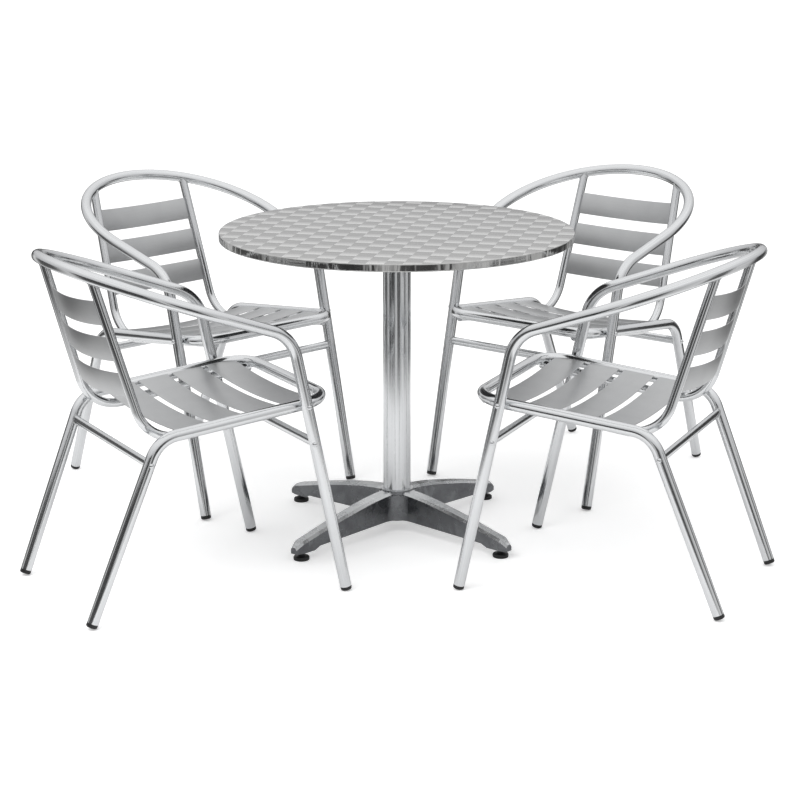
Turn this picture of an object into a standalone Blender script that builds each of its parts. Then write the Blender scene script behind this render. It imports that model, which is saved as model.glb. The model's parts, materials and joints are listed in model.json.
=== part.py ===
"""Patio dining set: a round pedestal table and four stacking armchairs of bent aluminium tube.

The set's origin is on the floor at the centre of its footprint, +Z is up and +Y runs from
the front of the set to its back. Lengths are in metres and angles in degrees. Chairs are
numbered 1 front left, 2 front right, 3 back right and 4 back left. A chair's own frame has
its origin on the floor between its four feet, +X to the sitter's right and +Y forward,
towards the table.
"""

import math

import bmesh
import bpy
from mathutils import Matrix, Vector

COLLECTION_NAME = "patio_dining_set"
CUTTER_COLLECTION_NAME = "cutters"

# Pieces that touch keep this gap, and a cutter is this much larger than what it makes room for.
TOUCH_GAP = 0.0003
# Points closer than these are one point: a curve's caps, and a turned profile's seam.
CAP_WELD = 0.000001
SEAM_WELD = 0.00005
CREASE_DEGREES = 35.0

# ---- Placing ----
# The table's axis is off the footprint's centre, because the chairs stand unevenly round it.
TABLE_AT = (-0.00228, -0.08361)
# The way that the first arm of the base points, from +X.
BASE_TURN = 47.5
# Each chair: across and along from the table's axis, and the way its sitter faces from +X.
CHAIR_PLACES = {
    "chair_1": (-0.4535, -0.3605, 29.3),
    "chair_2": (0.4700, -0.3250, 155.7),
    "chair_3": (0.4350, 0.4880, 231.1),
    "chair_4": (-0.4690, 0.4120, 314.8),
}

# ---- Table ----
TABLE_HEIGHT = 0.701
TOP_RADIUS = 0.400
TOP_THICKNESS = 0.018
TOP_EDGE_ROUND = 0.0045
TOP_EDGE_STEPS = 3
TOP_TURN_STEPS = 56

COLUMN_RADIUS = 0.0315
COLUMN_WALL = 0.0020
COLUMN_TURN_STEPS = 28

SPIDER_THICKNESS = 0.008
SPIDER_REACH = 0.240
SPIDER_ARM_WIDTH = 0.036
SPIDER_END_WIDTH = 0.022
SPIDER_BOSS_RADIUS = 0.042
SPIDER_BOSS_HEIGHT = 0.022

HUB_RADIUS = 0.038
HUB_TOP = 0.0985
HUB_BOTTOM = 0.028
HUB_SIDES = 24
HUB_FILLET_RADIUS = 0.038
HUB_FILLET_TOP = 0.0885
HUB_FILLET_STEPS = 10
HUB_FILLET_INTO_ARM = 0.0003
ARM_COUNT = 4
# Stations along a base arm: distance from the axis, underside height, top height, half width.
ARM_STATIONS = (
    (0.0240, 0.0300, 0.0970, 0.0180),
    (0.0600, 0.0300, 0.0950, 0.0180),
    (0.1000, 0.0295, 0.0905, 0.0178),
    (0.1400, 0.0285, 0.0840, 0.0175),
    (0.2100, 0.0270, 0.0705, 0.0168),
    (0.2700, 0.0250, 0.0570, 0.0160),
    (0.2860, 0.0180, 0.0532, 0.0158),
    (0.3200, 0.0180, 0.0450, 0.0152),
    (0.3380, 0.0180, 0.0330, 0.0090),
)
ARM_TOP_CHAMFER = 0.0055

FOOT_CIRCLE_RADIUS = 0.314
FOOT_PAD_RADIUS = 0.018
FOOT_PAD_HEIGHT = 0.009
FOOT_PAD_ROUND = 0.0025
FOOT_NECK_RADIUS = 0.007
FOOT_NECK_TOP = 0.0170
FOOT_STEM_RADIUS = 0.004
FOOT_STEM_TOP = 0.0340
FOOT_HOLE_TOP = 0.0370
FOOT_HOLE_OVERSHOOT = 0.010
FOOT_TURN_STEPS = 16

# ---- Chair ----
FRAME_TUBE_RADIUS = 0.0125
UPRIGHT_TUBE_RADIUS = 0.0100
BEND_STEPS = 6

FRONT_FOOT = (0.2345, 0.2660)
ARM_BEND = (0.2355, 0.1430, 0.5690)
ARM_BEND_RADIUS = 0.088
BACK_OVAL_CENTRE_Y = -0.0468
BACK_OVAL_HALF_WIDTH = 0.2600
BACK_OVAL_DEPTH = 0.2472
HOOP_BACK_HEIGHT = 0.7290
BACK_OVAL_STEPS = 9

REAR_FOOT = (0.1940, -0.3015)
RAIL_X = 0.2095
RAIL_REAR = (-0.1475, 0.3830)
RAIL_FRONT = (0.2450, 0.4215)
RAIL_REAR_BEND_RADIUS = 0.066
RAIL_CORNER_RADIUS = 0.068

UPRIGHT_TOP = (0.1400, -0.2527)
UPRIGHT_BEND = (0.1560, -0.1495)
UPRIGHT_FRONT = (0.1700, 0.2370)
UPRIGHT_BELOW_RAIL_AT_BEND = 0.0220
UPRIGHT_BELOW_RAIL_AT_FRONT = 0.0105
UPRIGHT_BEND_RADIUS = 0.088

SLAT_THICKNESS = 0.0020
SLAT_END_GAP = 0.0006
SEAT_SLAT_COUNT = 4
SEAT_SLAT_WIDTH = 0.069
SEAT_SLAT_PITCH = 0.081
SEAT_FIRST_SLAT_Y = -0.066
SEAT_SLAT_ABOVE_RAIL = 0.0050
SEAT_SLAT_SAG = 0.012
BACK_SLAT_NAMES = ("back_slat_bottom", "back_slat_middle", "back_slat_top")
BACK_SLAT_WIDTH = 0.054
BACK_SLAT_PITCH = 0.076
BACK_BOTTOM_SLAT_Z = 0.486
BACK_SLAT_BOW = 0.025
SLAT_BOW_STEPS = 10
TUBE_ROUNDNESS = 2

STRETCHER_HALF_HEIGHT = 0.0100
STRETCHER_HALF_DEPTH = 0.0065
STRETCHER_SIDES = 12
FRONT_STRETCHER_Z = 0.336
REAR_STRETCHER_Z = 0.333

# ---- Colours: red, green, blue, then roughness and metallic ----
POLISHED_ALUMINIUM = (0.83, 0.84, 0.85, 0.16, 1.0)
SATIN_ALUMINIUM = (0.70, 0.71, 0.72, 0.38, 1.0)
CAST_ALUMINIUM = (0.30, 0.31, 0.32, 0.45, 1.0)
PATTERNED_STEEL = (0.62, 0.62, 0.61, 0.28, 1.0)
BLACK_PLASTIC = (0.015, 0.015, 0.016, 0.50, 0.0)


# ---- Shared helpers ----
def remove_everything():
    for leftover in list(bpy.data.objects):
        bpy.data.objects.remove(leftover, do_unlink=True)


def new_collection(name):
    collection = bpy.data.collections.new(name)
    bpy.context.scene.collection.children.link(collection)
    return collection


def paint(piece, name, look):
    """Give a piece its own Principled material."""
    red, green, blue, roughness, metallic = look
    material = bpy.data.materials.new(name)
    material.use_nodes = True
    shader = material.node_tree.nodes["Principled BSDF"]
    shader.inputs["Base Color"].default_value = (red, green, blue, 1.0)
    shader.inputs["Roughness"].default_value = roughness
    shader.inputs["Metallic"].default_value = metallic
    piece.data.materials.clear()
    piece.data.materials.append(material)


def shade_round(mesh):
    mesh.shade_smooth()
    mesh.set_sharp_from_angle(angle=math.radians(CREASE_DEGREES))


def bent_path(corners, radii):
    """Round each inner corner of a path with an arc of its radius."""
    corners = [Vector(corner) for corner in corners]
    path = [corners[0]]
    for before, corner, after, radius in zip(corners, corners[1:], corners[2:], radii):
        back = (before - corner).normalized()
        on = (after - corner).normalized()
        half_angle = back.angle(on) / 2.0
        centre = corner + (back + on).normalized() * (radius / math.sin(half_angle))
        start = corner + back * (radius / math.tan(half_angle))
        spoke = start - centre
        axis = back.cross(on).normalized()
        sweep = math.pi - 2.0 * half_angle
        for step in range(BEND_STEPS + 1):
            turn = Matrix.Rotation(-sweep * step / BEND_STEPS, 3, axis)
            path.append(centre + turn @ spoke)
    path.append(corners[-1])
    return path


def tube(name, path, radius, collection):
    """A bar along a path, with closed ends."""
    curve = bpy.data.curves.new(name, "CURVE")
    curve.dimensions = "3D"
    curve.bevel_depth = radius
    curve.bevel_resolution = TUBE_ROUNDNESS
    curve.use_fill_caps = True
    spline = curve.splines.new("POLY")
    spline.points.add(len(path) - 1)
    for point, place in zip(spline.points, path):
        point.co = (*place, 1.0)
    piece = bpy.data.objects.new(name, curve)
    collection.objects.link(piece)
    return piece


def extruded(name, outline, thickness, collection):
    """A flat outline in the XY plane, made solid by half its thickness each way."""
    curve = bpy.data.curves.new(name, "CURVE")
    curve.dimensions = "2D"
    curve.fill_mode = "BOTH"
    curve.extrude = thickness / 2.0
    spline = curve.splines.new("POLY")
    spline.points.add(len(outline) - 1)
    for point, (x, y) in zip(spline.points, outline):
        point.co = (x, y, 0.0, 1.0)
    spline.use_cyclic_u = True
    piece = bpy.data.objects.new(name, curve)
    collection.objects.link(piece)
    return piece


def as_mesh(piece, collection):
    """Swap a curve, or an object with modifiers, for the closed mesh that it makes."""
    bpy.context.view_layer.update()
    graph = bpy.context.evaluated_depsgraph_get()
    mesh = bpy.data.meshes.new_from_object(piece.evaluated_get(graph))
    welded = bmesh.new()
    welded.from_mesh(mesh)
    bmesh.ops.remove_doubles(welded, verts=welded.verts, dist=CAP_WELD)
    welded.to_mesh(mesh)
    welded.free()
    name = piece.name
    place = piece.matrix_world.copy()
    bpy.data.objects.remove(piece, do_unlink=True)
    mesh.name = name
    solid = bpy.data.objects.new(name, mesh)
    solid.matrix_world = place
    collection.objects.link(solid)
    return solid


def take_primitive(name, collection):
    """Name the primitive just added and move it to a collection."""
    made = bpy.context.object
    made.name = name
    for home in list(made.users_collection):
        home.objects.unlink(made)
    collection.objects.link(made)
    return made


def hide_cutter(cutter):
    cutter.hide_render = True
    cutter.display_type = "WIRE"


def boolean(piece, other, operation):
    modifier = piece.modifiers.new(operation.lower(), "BOOLEAN")
    modifier.operation = operation
    modifier.object = other


def turned(name, profile, steps, collection, closed=True):
    """Turn a profile of (radius, height) points, listed down its outer side, about Z."""
    mesh = bpy.data.meshes.new(name)
    shape = bmesh.new()
    rim = [shape.verts.new((radius, 0.0, height)) for radius, height in profile]
    for upper, lower in zip(rim, rim[1:]):
        shape.edges.new((upper, lower))
    if closed:
        shape.edges.new((rim[-1], rim[0]))
    shape.to_mesh(mesh)
    shape.free()
    piece = bpy.data.objects.new(name, mesh)
    collection.objects.link(piece)
    screw = piece.modifiers.new("turn", "SCREW")
    screw.axis = "Z"
    screw.steps = steps
    screw.render_steps = steps
    screw.use_merge_vertices = True
    screw.merge_threshold = SEAM_WELD
    return piece


# ---- Table ----
def make_table_top(parts, bottom, top):
    """The round top: a patterned steel skin rolled over the edge of a board."""
    flat_radius = TOP_RADIUS - TOP_EDGE_ROUND
    upper = []
    for step in range(TOP_EDGE_STEPS + 1):
        turn = math.radians(90.0 * step / TOP_EDGE_STEPS)
        drop = TOP_EDGE_ROUND * (1.0 - math.cos(turn))
        upper.append((flat_radius + TOP_EDGE_ROUND * math.sin(turn), top - drop))
    lower = [(across, top + bottom - height) for across, height in reversed(upper)]
    profile = [(0.0, top), *upper, *lower, (0.0, bottom)]
    piece = turned("table_top", profile, TOP_TURN_STEPS, parts, closed=False)
    paint(piece, "patterned_steel_top", PATTERNED_STEEL)
    return piece


def make_top_spider(parts, cutters, top):
    """The cast bracket under the top: a tapered cross on a round boss that caps the column."""
    wide = SPIDER_ARM_WIDTH / 2.0
    narrow = SPIDER_END_WIDTH / 2.0
    outline = []
    for arm in range(ARM_COUNT):
        turn = Matrix.Rotation(arm * math.tau / ARM_COUNT, 2)
        for x, y in ((wide, -wide), (SPIDER_REACH, -narrow), (SPIDER_REACH, narrow)):
            outline.append(turn @ Vector((x, y)))
    cross = extruded("top_spider", outline, SPIDER_THICKNESS, parts)
    cross.location = (0.0, 0.0, top - SPIDER_THICKNESS / 2.0)
    cross = as_mesh(cross, parts)
    bpy.ops.mesh.primitive_cylinder_add(
        vertices=HUB_SIDES,
        radius=SPIDER_BOSS_RADIUS,
        depth=SPIDER_BOSS_HEIGHT,
        location=(0.0, 0.0, top - TOUCH_GAP - SPIDER_BOSS_HEIGHT / 2.0),
    )
    boss = take_primitive("top_spider_boss", cutters)
    hide_cutter(boss)
    boolean(cross, boss, "UNION")
    spider = as_mesh(cross, parts)
    shade_round(spider.data)
    paint(spider, "cast_aluminium_spider", CAST_ALUMINIUM)
    return spider


def make_column(parts, bottom, top):
    """The pedestal tube, open at both ends."""
    inner = COLUMN_RADIUS - COLUMN_WALL
    profile = [(COLUMN_RADIUS, top), (COLUMN_RADIUS, bottom), (inner, bottom), (inner, top)]
    piece = turned("column", profile, COLUMN_TURN_STEPS, parts)
    paint(piece, "polished_aluminium_column", POLISHED_ALUMINIUM)
    return piece


def base_arm(name, cutters):
    """One tapering arm along +X: a chain of six-sided sections with chamfered top edges."""
    mesh = bpy.data.meshes.new(name)
    shape = bmesh.new()
    rings = []
    for out, low, high, half in ARM_STATIONS:
        shoulder = high - ARM_TOP_CHAMFER
        crown = half - ARM_TOP_CHAMFER
        section = (
            (-half, low),
            (half, low),
            (half, shoulder),
            (crown, high),
            (-crown, high),
            (-half, shoulder),
        )
        rings.append([shape.verts.new((out, y, z)) for y, z in section])
    for ring, following in zip(rings, rings[1:]):
        for corner in range(len(ring)):
            beside = (corner + 1) % len(ring)
            shape.faces.new(
                (ring[corner], ring[beside], following[beside], following[corner])
            )
    shape.faces.new(rings[0])
    shape.faces.new(rings[-1])
    bmesh.ops.recalc_face_normals(shape, faces=shape.faces)
    shape.to_mesh(mesh)
    shape.free()
    arm = bpy.data.objects.new(name, mesh)
    cutters.objects.link(arm)
    hide_cutter(arm)
    return arm


def make_hub_web(cutters):
    """A plate with four hollow sides, which fillets the corners between the arms."""
    _, bottom, _, arm_half = ARM_STATIONS[0]
    corner = arm_half - HUB_FILLET_INTO_ARM
    centre = Vector((corner + HUB_FILLET_RADIUS, corner + HUB_FILLET_RADIUS))
    outline = []
    for gap in range(ARM_COUNT):
        turn = Matrix.Rotation(gap * math.tau / ARM_COUNT, 2)
        for step in range(HUB_FILLET_STEPS + 1):
            angle = -math.pi / 2.0 * (1.0 + step / HUB_FILLET_STEPS)
            spoke = Vector((math.cos(angle), math.sin(angle))) * HUB_FILLET_RADIUS
            outline.append(turn @ (centre + spoke))
    plate = extruded("base_web", outline, HUB_FILLET_TOP - bottom, cutters)
    plate.location = (0.0, 0.0, (HUB_FILLET_TOP + bottom) / 2.0)
    plate = as_mesh(plate, cutters)
    hide_cutter(plate)
    return plate


def make_base_casting(parts, cutters):
    """Four arms cast in one with a round hub, each drilled from below for a foot's stem."""
    bpy.ops.mesh.primitive_cylinder_add(
        vertices=HUB_SIDES,
        radius=HUB_RADIUS,
        depth=HUB_TOP - HUB_BOTTOM,
        location=(0.0, 0.0, (HUB_TOP + HUB_BOTTOM) / 2.0),
    )
    hub = take_primitive("base_casting", parts)
    boolean(hub, make_hub_web(cutters), "UNION")
    for arm in range(ARM_COUNT):
        turn = arm * math.tau / ARM_COUNT
        limb = base_arm(f"base_arm_{arm + 1}", cutters)
        limb.rotation_euler = (0.0, 0.0, turn)
        boolean(hub, limb, "UNION")
        drill_bottom = ARM_STATIONS[-1][1] - FOOT_HOLE_OVERSHOOT
        bpy.ops.mesh.primitive_cylinder_add(
            vertices=FOOT_TURN_STEPS,
            radius=FOOT_STEM_RADIUS + TOUCH_GAP,
            depth=FOOT_HOLE_TOP - drill_bottom,
            location=(
                FOOT_CIRCLE_RADIUS * math.cos(turn),
                FOOT_CIRCLE_RADIUS * math.sin(turn),
                (FOOT_HOLE_TOP + drill_bottom) / 2.0,
            ),
        )
        drill = take_primitive(f"foot_hole_{arm + 1}", cutters)
        hide_cutter(drill)
        boolean(hub, drill, "DIFFERENCE")
    casting = as_mesh(hub, parts)
    shade_round(casting.data)
    paint(casting, "cast_aluminium_base", CAST_ALUMINIUM)
    return casting


def make_levelling_feet(parts, table):
    """A black pad on a short neck, with a stem that screws up into the arm."""
    profile = [
        (0.0, FOOT_STEM_TOP),
        (FOOT_STEM_RADIUS, FOOT_STEM_TOP),
        (FOOT_STEM_RADIUS, FOOT_NECK_TOP),
        (FOOT_NECK_RADIUS, FOOT_NECK_TOP),
        (FOOT_NECK_RADIUS, FOOT_PAD_HEIGHT),
        (FOOT_PAD_RADIUS - FOOT_PAD_ROUND, FOOT_PAD_HEIGHT),
        (FOOT_PAD_RADIUS, FOOT_PAD_HEIGHT - FOOT_PAD_ROUND),
        (FOOT_PAD_RADIUS, FOOT_PAD_ROUND),
        (FOOT_PAD_RADIUS - FOOT_PAD_ROUND, 0.0),
        (0.0, 0.0),
    ]
    first = turned("levelling_foot_1", profile, FOOT_TURN_STEPS, parts, closed=False)
    first = as_mesh(first, parts)
    shade_round(first.data)
    paint(first, "black_plastic_foot", BLACK_PLASTIC)
    feet = [first]
    for number in range(2, ARM_COUNT + 1):
        foot = bpy.data.objects.new(f"levelling_foot_{number}", first.data)
        parts.objects.link(foot)
        feet.append(foot)
    for number, foot in enumerate(feet):
        turn = number * math.tau / ARM_COUNT
        foot.parent = table
        foot.location = (
            FOOT_CIRCLE_RADIUS * math.cos(turn),
            FOOT_CIRCLE_RADIUS * math.sin(turn),
            0.0,
        )


def make_table(parts, cutters):
    """The table, built on its own axis and then stood in its place."""
    table = bpy.data.objects.new("table_axis", None)
    parts.objects.link(table)
    top_bottom = TABLE_HEIGHT - TOP_THICKNESS
    spider_top = top_bottom - TOUCH_GAP
    column_top = spider_top - TOUCH_GAP - SPIDER_BOSS_HEIGHT - TOUCH_GAP
    pieces = [
        make_table_top(parts, top_bottom, TABLE_HEIGHT),
        make_top_spider(parts, cutters, spider_top),
        make_column(parts, HUB_TOP + TOUCH_GAP, column_top),
        make_base_casting(parts, cutters),
    ]
    for piece in pieces:
        piece.parent = table
    make_levelling_feet(parts, table)
    table.location = (*TABLE_AT, 0.0)
    table.rotation_euler = (0.0, 0.0, math.radians(BASE_TURN))


# ---- Chair paths, in the chair's own frame ----
def stood_on_floor(foot, above, radius):
    """Lift a leg's end so that the low edge of its slanted cut stands on the floor."""
    start = Vector((*foot, 0.0))
    slant = (Vector(above) - start).normalized()
    lift = radius * math.hypot(slant.x, slant.y)
    return start + slant * (lift / slant.z)


def both_sides(half):
    """Join a half path that ends on the plane X = 0 to its mirror image."""
    mirrored = [Vector((-point.x, point.y, point.z)) for point in half]
    return half + list(reversed(mirrored))[1:]


def hoop_height(y):
    """The arms and the back of the hoop lie in one plane that rises to the rear."""
    back_y = BACK_OVAL_CENTRE_Y - BACK_OVAL_DEPTH
    share = (ARM_BEND[1] - y) / (ARM_BEND[1] - back_y)
    return ARM_BEND[2] + (HOOP_BACK_HEIGHT - ARM_BEND[2]) * share


def back_oval(angle):
    x = BACK_OVAL_HALF_WIDTH * math.cos(angle)
    y = BACK_OVAL_CENTRE_Y + BACK_OVAL_DEPTH * math.sin(angle)
    return Vector((x, y, hoop_height(y)))


def hoop_half():
    """Right front foot, leg, arm bend, arm, then the oval back as far as its middle."""
    across = ARM_BEND[0] / BACK_OVAL_HALF_WIDTH
    along = (ARM_BEND[1] - BACK_OVAL_CENTRE_Y) / BACK_OVAL_DEPTH
    tangent = math.atan2(along, across) - math.acos(1.0 / math.hypot(across, along))
    foot = stood_on_floor(FRONT_FOOT, ARM_BEND, FRAME_TUBE_RADIUS)
    half = bent_path((foot, ARM_BEND, back_oval(tangent)), (ARM_BEND_RADIUS,))
    for step in range(1, BACK_OVAL_STEPS + 1):
        angle = tangent - (tangent + math.pi / 2.0) * step / BACK_OVAL_STEPS
        half.append(back_oval(angle))
    half[-1].x = 0.0
    return half


def rail_height(y):
    """Height of the seat rail's centre line, which rises to the front."""
    rise = (RAIL_FRONT[1] - RAIL_REAR[1]) / (RAIL_FRONT[0] - RAIL_REAR[0])
    return RAIL_REAR[1] + rise * (y - RAIL_REAR[0])


def seat_frame_half():
    """Right rear foot, leg, bend, side rail and the front rail as far as its middle."""
    rear_bend = (RAIL_X, *RAIL_REAR)
    front_corner = (RAIL_X, *RAIL_FRONT)
    front_middle = (0.0, *RAIL_FRONT)
    foot = stood_on_floor(REAR_FOOT, rear_bend, FRAME_TUBE_RADIUS)
    corners = (foot, rear_bend, front_corner, front_middle)
    return bent_path(corners, (RAIL_REAR_BEND_RADIUS, RAIL_CORNER_RADIUS))


def upright_corners():
    """Right upright: top on the hoop, bend at the seat, front end on the front rail."""
    top = (*UPRIGHT_TOP, hoop_height(UPRIGHT_TOP[1]))
    bend = (*UPRIGHT_BEND, rail_height(UPRIGHT_BEND[1]) - UPRIGHT_BELOW_RAIL_AT_BEND)
    front_height = rail_height(UPRIGHT_FRONT[1]) - UPRIGHT_BELOW_RAIL_AT_FRONT
    front = (*UPRIGHT_FRONT, front_height)
    return [Vector(corner) for corner in (top, bend, front)]


def point_at_height(lower, upper, height):
    """The point of a straight run at a height."""
    share = (height - lower.z) / (upper.z - lower.z)
    return lower.lerp(upper, share)


# ---- Chair pieces ----
def make_bowed_slat(name, half_length, width, bow, parts):
    """A slat along X whose middle is bow below its ends, with its width along Y."""
    outline = []
    for side, offset in ((1.0, SLAT_THICKNESS / 2.0), (-1.0, -SLAT_THICKNESS / 2.0)):
        for step in range(SLAT_BOW_STEPS + 1):
            share = side * (2.0 * step / SLAT_BOW_STEPS - 1.0)
            outline.append((half_length * share, bow * (share**2 - 1.0) + offset))
    slat = as_mesh(extruded(name, outline, width, parts), parts)
    slat.data.transform(Matrix.Rotation(math.radians(90.0), 4, "X"))
    return slat


def make_seat_slats(frame_cutter, parts):
    """The seat's slats, the front one's corners trimmed round the frame's bends."""
    slats = []
    half_length = RAIL_X - FRAME_TUBE_RADIUS - SLAT_END_GAP
    slope = rail_height(1.0) - rail_height(0.0)
    for number in range(SEAT_SLAT_COUNT):
        name = f"seat_slat_{number + 1}"
        slat = make_bowed_slat(name, half_length, SEAT_SLAT_WIDTH, SEAT_SLAT_SAG, parts)
        y = SEAT_FIRST_SLAT_Y + number * SEAT_SLAT_PITCH
        tilt = Matrix.Rotation(math.atan(slope), 4, "X")
        place = Matrix.Translation((0.0, y, rail_height(y) + SEAT_SLAT_ABOVE_RAIL))
        slat.data.transform(place @ tilt)
        boolean(slat, frame_cutter, "DIFFERENCE")
        slat = as_mesh(slat, parts)
        paint(slat, "satin_aluminium_" + name, SATIN_ALUMINIUM)
        slats.append(slat)
    return slats


def make_back_slats(parts):
    slats = []
    top, bend, _ = upright_corners()
    lean = math.atan2(bend.y - top.y, top.z - bend.z)
    for number, name in enumerate(BACK_SLAT_NAMES):
        height = BACK_BOTTOM_SLAT_Z + number * BACK_SLAT_PITCH
        at = point_at_height(bend, top, height)
        narrowest = point_at_height(bend, top, height + BACK_SLAT_WIDTH / 2.0).x
        half_length = narrowest - UPRIGHT_TUBE_RADIUS - SLAT_END_GAP
        slat = make_bowed_slat(name, half_length, BACK_SLAT_WIDTH, BACK_SLAT_BOW, parts)
        upright = Matrix.Rotation(math.radians(-90.0), 4, "X")
        lean_back = Matrix.Rotation(lean, 4, "X")
        place = Matrix.Translation((0.0, at.y, height))
        slat.data.transform(place @ lean_back @ upright)
        paint(slat, "satin_aluminium_" + name, SATIN_ALUMINIUM)
        slats.append(slat)
    return slats


def make_upright(name, side, hoop_cutter, frame_cutter, parts):
    """One back upright, its ends saddle-cut to the tubes that they are welded to."""
    corners = [Vector((side * corner.x, corner.y, corner.z)) for corner in upright_corners()]
    path = bent_path(corners, (UPRIGHT_BEND_RADIUS,))
    upright = as_mesh(tube(name, path, UPRIGHT_TUBE_RADIUS, parts), parts)
    boolean(upright, hoop_cutter, "DIFFERENCE")
    boolean(upright, frame_cutter, "DIFFERENCE")
    upright = as_mesh(upright, parts)
    shade_round(upright.data)
    paint(upright, "polished_aluminium_" + name, POLISHED_ALUMINIUM)
    return upright


def make_stretcher(name, leg_foot, leg_top, height, leg_cutter, parts):
    """An oval tie between two legs, its ends saddle-cut to them."""
    at = point_at_height(Vector((*leg_foot, 0.0)), Vector(leg_top), height)
    bpy.ops.mesh.primitive_cylinder_add(
        vertices=STRETCHER_SIDES, radius=1.0, depth=2.0 * at.x, end_fill_type="NGON"
    )
    stretcher = take_primitive(name, parts)
    along_x = Matrix.Rotation(math.radians(90.0), 4, "Y")
    oval = Matrix.Diagonal((1.0, STRETCHER_HALF_DEPTH, STRETCHER_HALF_HEIGHT, 1.0))
    place = Matrix.Translation((0.0, at.y, at.z))
    stretcher.data.transform(place @ oval @ along_x)
    boolean(stretcher, leg_cutter, "DIFFERENCE")
    stretcher = as_mesh(stretcher, parts)
    shade_round(stretcher.data)
    paint(stretcher, "polished_aluminium_" + name, POLISHED_ALUMINIUM)
    return stretcher


def make_bent_frame(name, half, parts, cutters):
    """One of the two bent tubes that carry the chair, and a cutter a touch larger."""
    path = both_sides(half)
    frame = as_mesh(tube(name, path, FRAME_TUBE_RADIUS, parts), parts)
    shade_round(frame.data)
    paint(frame, "polished_aluminium_" + name, POLISHED_ALUMINIUM)
    room = tube(name + "_room", path, FRAME_TUBE_RADIUS + TOUCH_GAP, cutters)
    room = as_mesh(room, cutters)
    hide_cutter(room)
    return frame, room


def make_chair_pieces(parts, cutters):
    """Every piece of one chair, in the chair's own frame."""
    hoop, hoop_room = make_bent_frame("arm_hoop", hoop_half(), parts, cutters)
    frame, frame_room = make_bent_frame("seat_frame", seat_frame_half(), parts, cutters)
    rear_bend = (RAIL_X, *RAIL_REAR)
    return [
        hoop,
        frame,
        make_upright("right_upright", 1.0, hoop_room, frame_room, parts),
        make_upright("left_upright", -1.0, hoop_room, frame_room, parts),
        *make_seat_slats(frame_room, parts),
        *make_back_slats(parts),
        make_stretcher(
            "front_stretcher", FRONT_FOOT, ARM_BEND, FRONT_STRETCHER_Z, hoop_room, parts
        ),
        make_stretcher(
            "rear_stretcher", REAR_FOOT, rear_bend, REAR_STRETCHER_Z, frame_room, parts
        ),
    ]


def place_chairs(pieces, parts):
    """Stand four chairs round the table; the copies share the first one's meshes."""
    for chair_name, (across, along, faces) in CHAIR_PLACES.items():
        stand = bpy.data.objects.new(chair_name + "_stand", None)
        parts.objects.link(stand)
        stand.location = (TABLE_AT[0] + across, TABLE_AT[1] + along, 0.0)
        stand.rotation_euler = (0.0, 0.0, math.radians(faces - 90.0))
        for piece in pieces:
            copy = bpy.data.objects.new(f"{chair_name}_{piece.name}", piece.data)
            parts.objects.link(copy)
            copy.parent = stand
    for piece in pieces:
        bpy.data.objects.remove(piece, do_unlink=True)


def build():
    remove_everything()
    parts = new_collection(COLLECTION_NAME)
    cutters = new_collection(CUTTER_COLLECTION_NAME)
    make_table(parts, cutters)
    place_chairs(make_chair_pieces(parts, cutters), parts)


build()
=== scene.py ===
# %% [markdown]
# # A patio dining set in bent tube
# A round pedestal table with a patterned steel top, and four stacking armchairs made of bent
# aluminium tube and thin slats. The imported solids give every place, and the chair's sizes repeat
# theirs; this script gives them their fine surface. It works in metres, with +Z up and the floor
# at zero.

import json
import math
import random

import bmesh
import bpy
from mathutils import Matrix, Vector

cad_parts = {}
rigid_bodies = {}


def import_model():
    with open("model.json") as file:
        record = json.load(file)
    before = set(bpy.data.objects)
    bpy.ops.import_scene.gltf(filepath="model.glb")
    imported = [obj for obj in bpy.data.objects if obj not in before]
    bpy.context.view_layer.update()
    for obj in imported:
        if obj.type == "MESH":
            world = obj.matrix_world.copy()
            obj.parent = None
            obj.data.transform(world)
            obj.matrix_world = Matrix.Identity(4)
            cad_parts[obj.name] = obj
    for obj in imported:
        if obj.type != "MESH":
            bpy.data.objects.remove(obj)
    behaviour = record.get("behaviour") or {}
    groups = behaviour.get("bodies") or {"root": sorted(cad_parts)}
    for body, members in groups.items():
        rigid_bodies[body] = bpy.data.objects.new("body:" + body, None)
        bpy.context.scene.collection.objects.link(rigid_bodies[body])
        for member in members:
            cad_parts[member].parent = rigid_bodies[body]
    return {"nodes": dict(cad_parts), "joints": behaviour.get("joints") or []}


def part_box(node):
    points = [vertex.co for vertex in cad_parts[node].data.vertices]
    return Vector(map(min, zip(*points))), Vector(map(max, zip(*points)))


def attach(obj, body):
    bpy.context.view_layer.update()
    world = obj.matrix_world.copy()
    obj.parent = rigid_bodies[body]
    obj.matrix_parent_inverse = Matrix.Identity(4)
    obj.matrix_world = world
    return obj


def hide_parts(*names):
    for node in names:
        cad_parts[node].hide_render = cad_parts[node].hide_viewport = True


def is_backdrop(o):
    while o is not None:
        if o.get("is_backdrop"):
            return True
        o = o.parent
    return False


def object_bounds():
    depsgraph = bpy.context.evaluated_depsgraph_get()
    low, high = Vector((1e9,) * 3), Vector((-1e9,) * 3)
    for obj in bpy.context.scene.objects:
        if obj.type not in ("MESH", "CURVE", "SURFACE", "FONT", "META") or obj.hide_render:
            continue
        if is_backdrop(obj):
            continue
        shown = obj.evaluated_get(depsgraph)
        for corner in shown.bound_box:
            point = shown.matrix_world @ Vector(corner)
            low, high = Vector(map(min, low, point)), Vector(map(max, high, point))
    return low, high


for leftover in list(bpy.data.objects):
    bpy.data.objects.remove(leftover, do_unlink=True)
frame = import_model()
cad_box = [list(corner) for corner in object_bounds()]

# %% [markdown]
# ## Colours and nodes
# Colours are written as sRGB hex codes, as a paint chart gives them, and turned to the linear
# values that a shader adds up. Every node, in a material or a geometry tree, is added by one
# small function that also makes its links.

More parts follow.
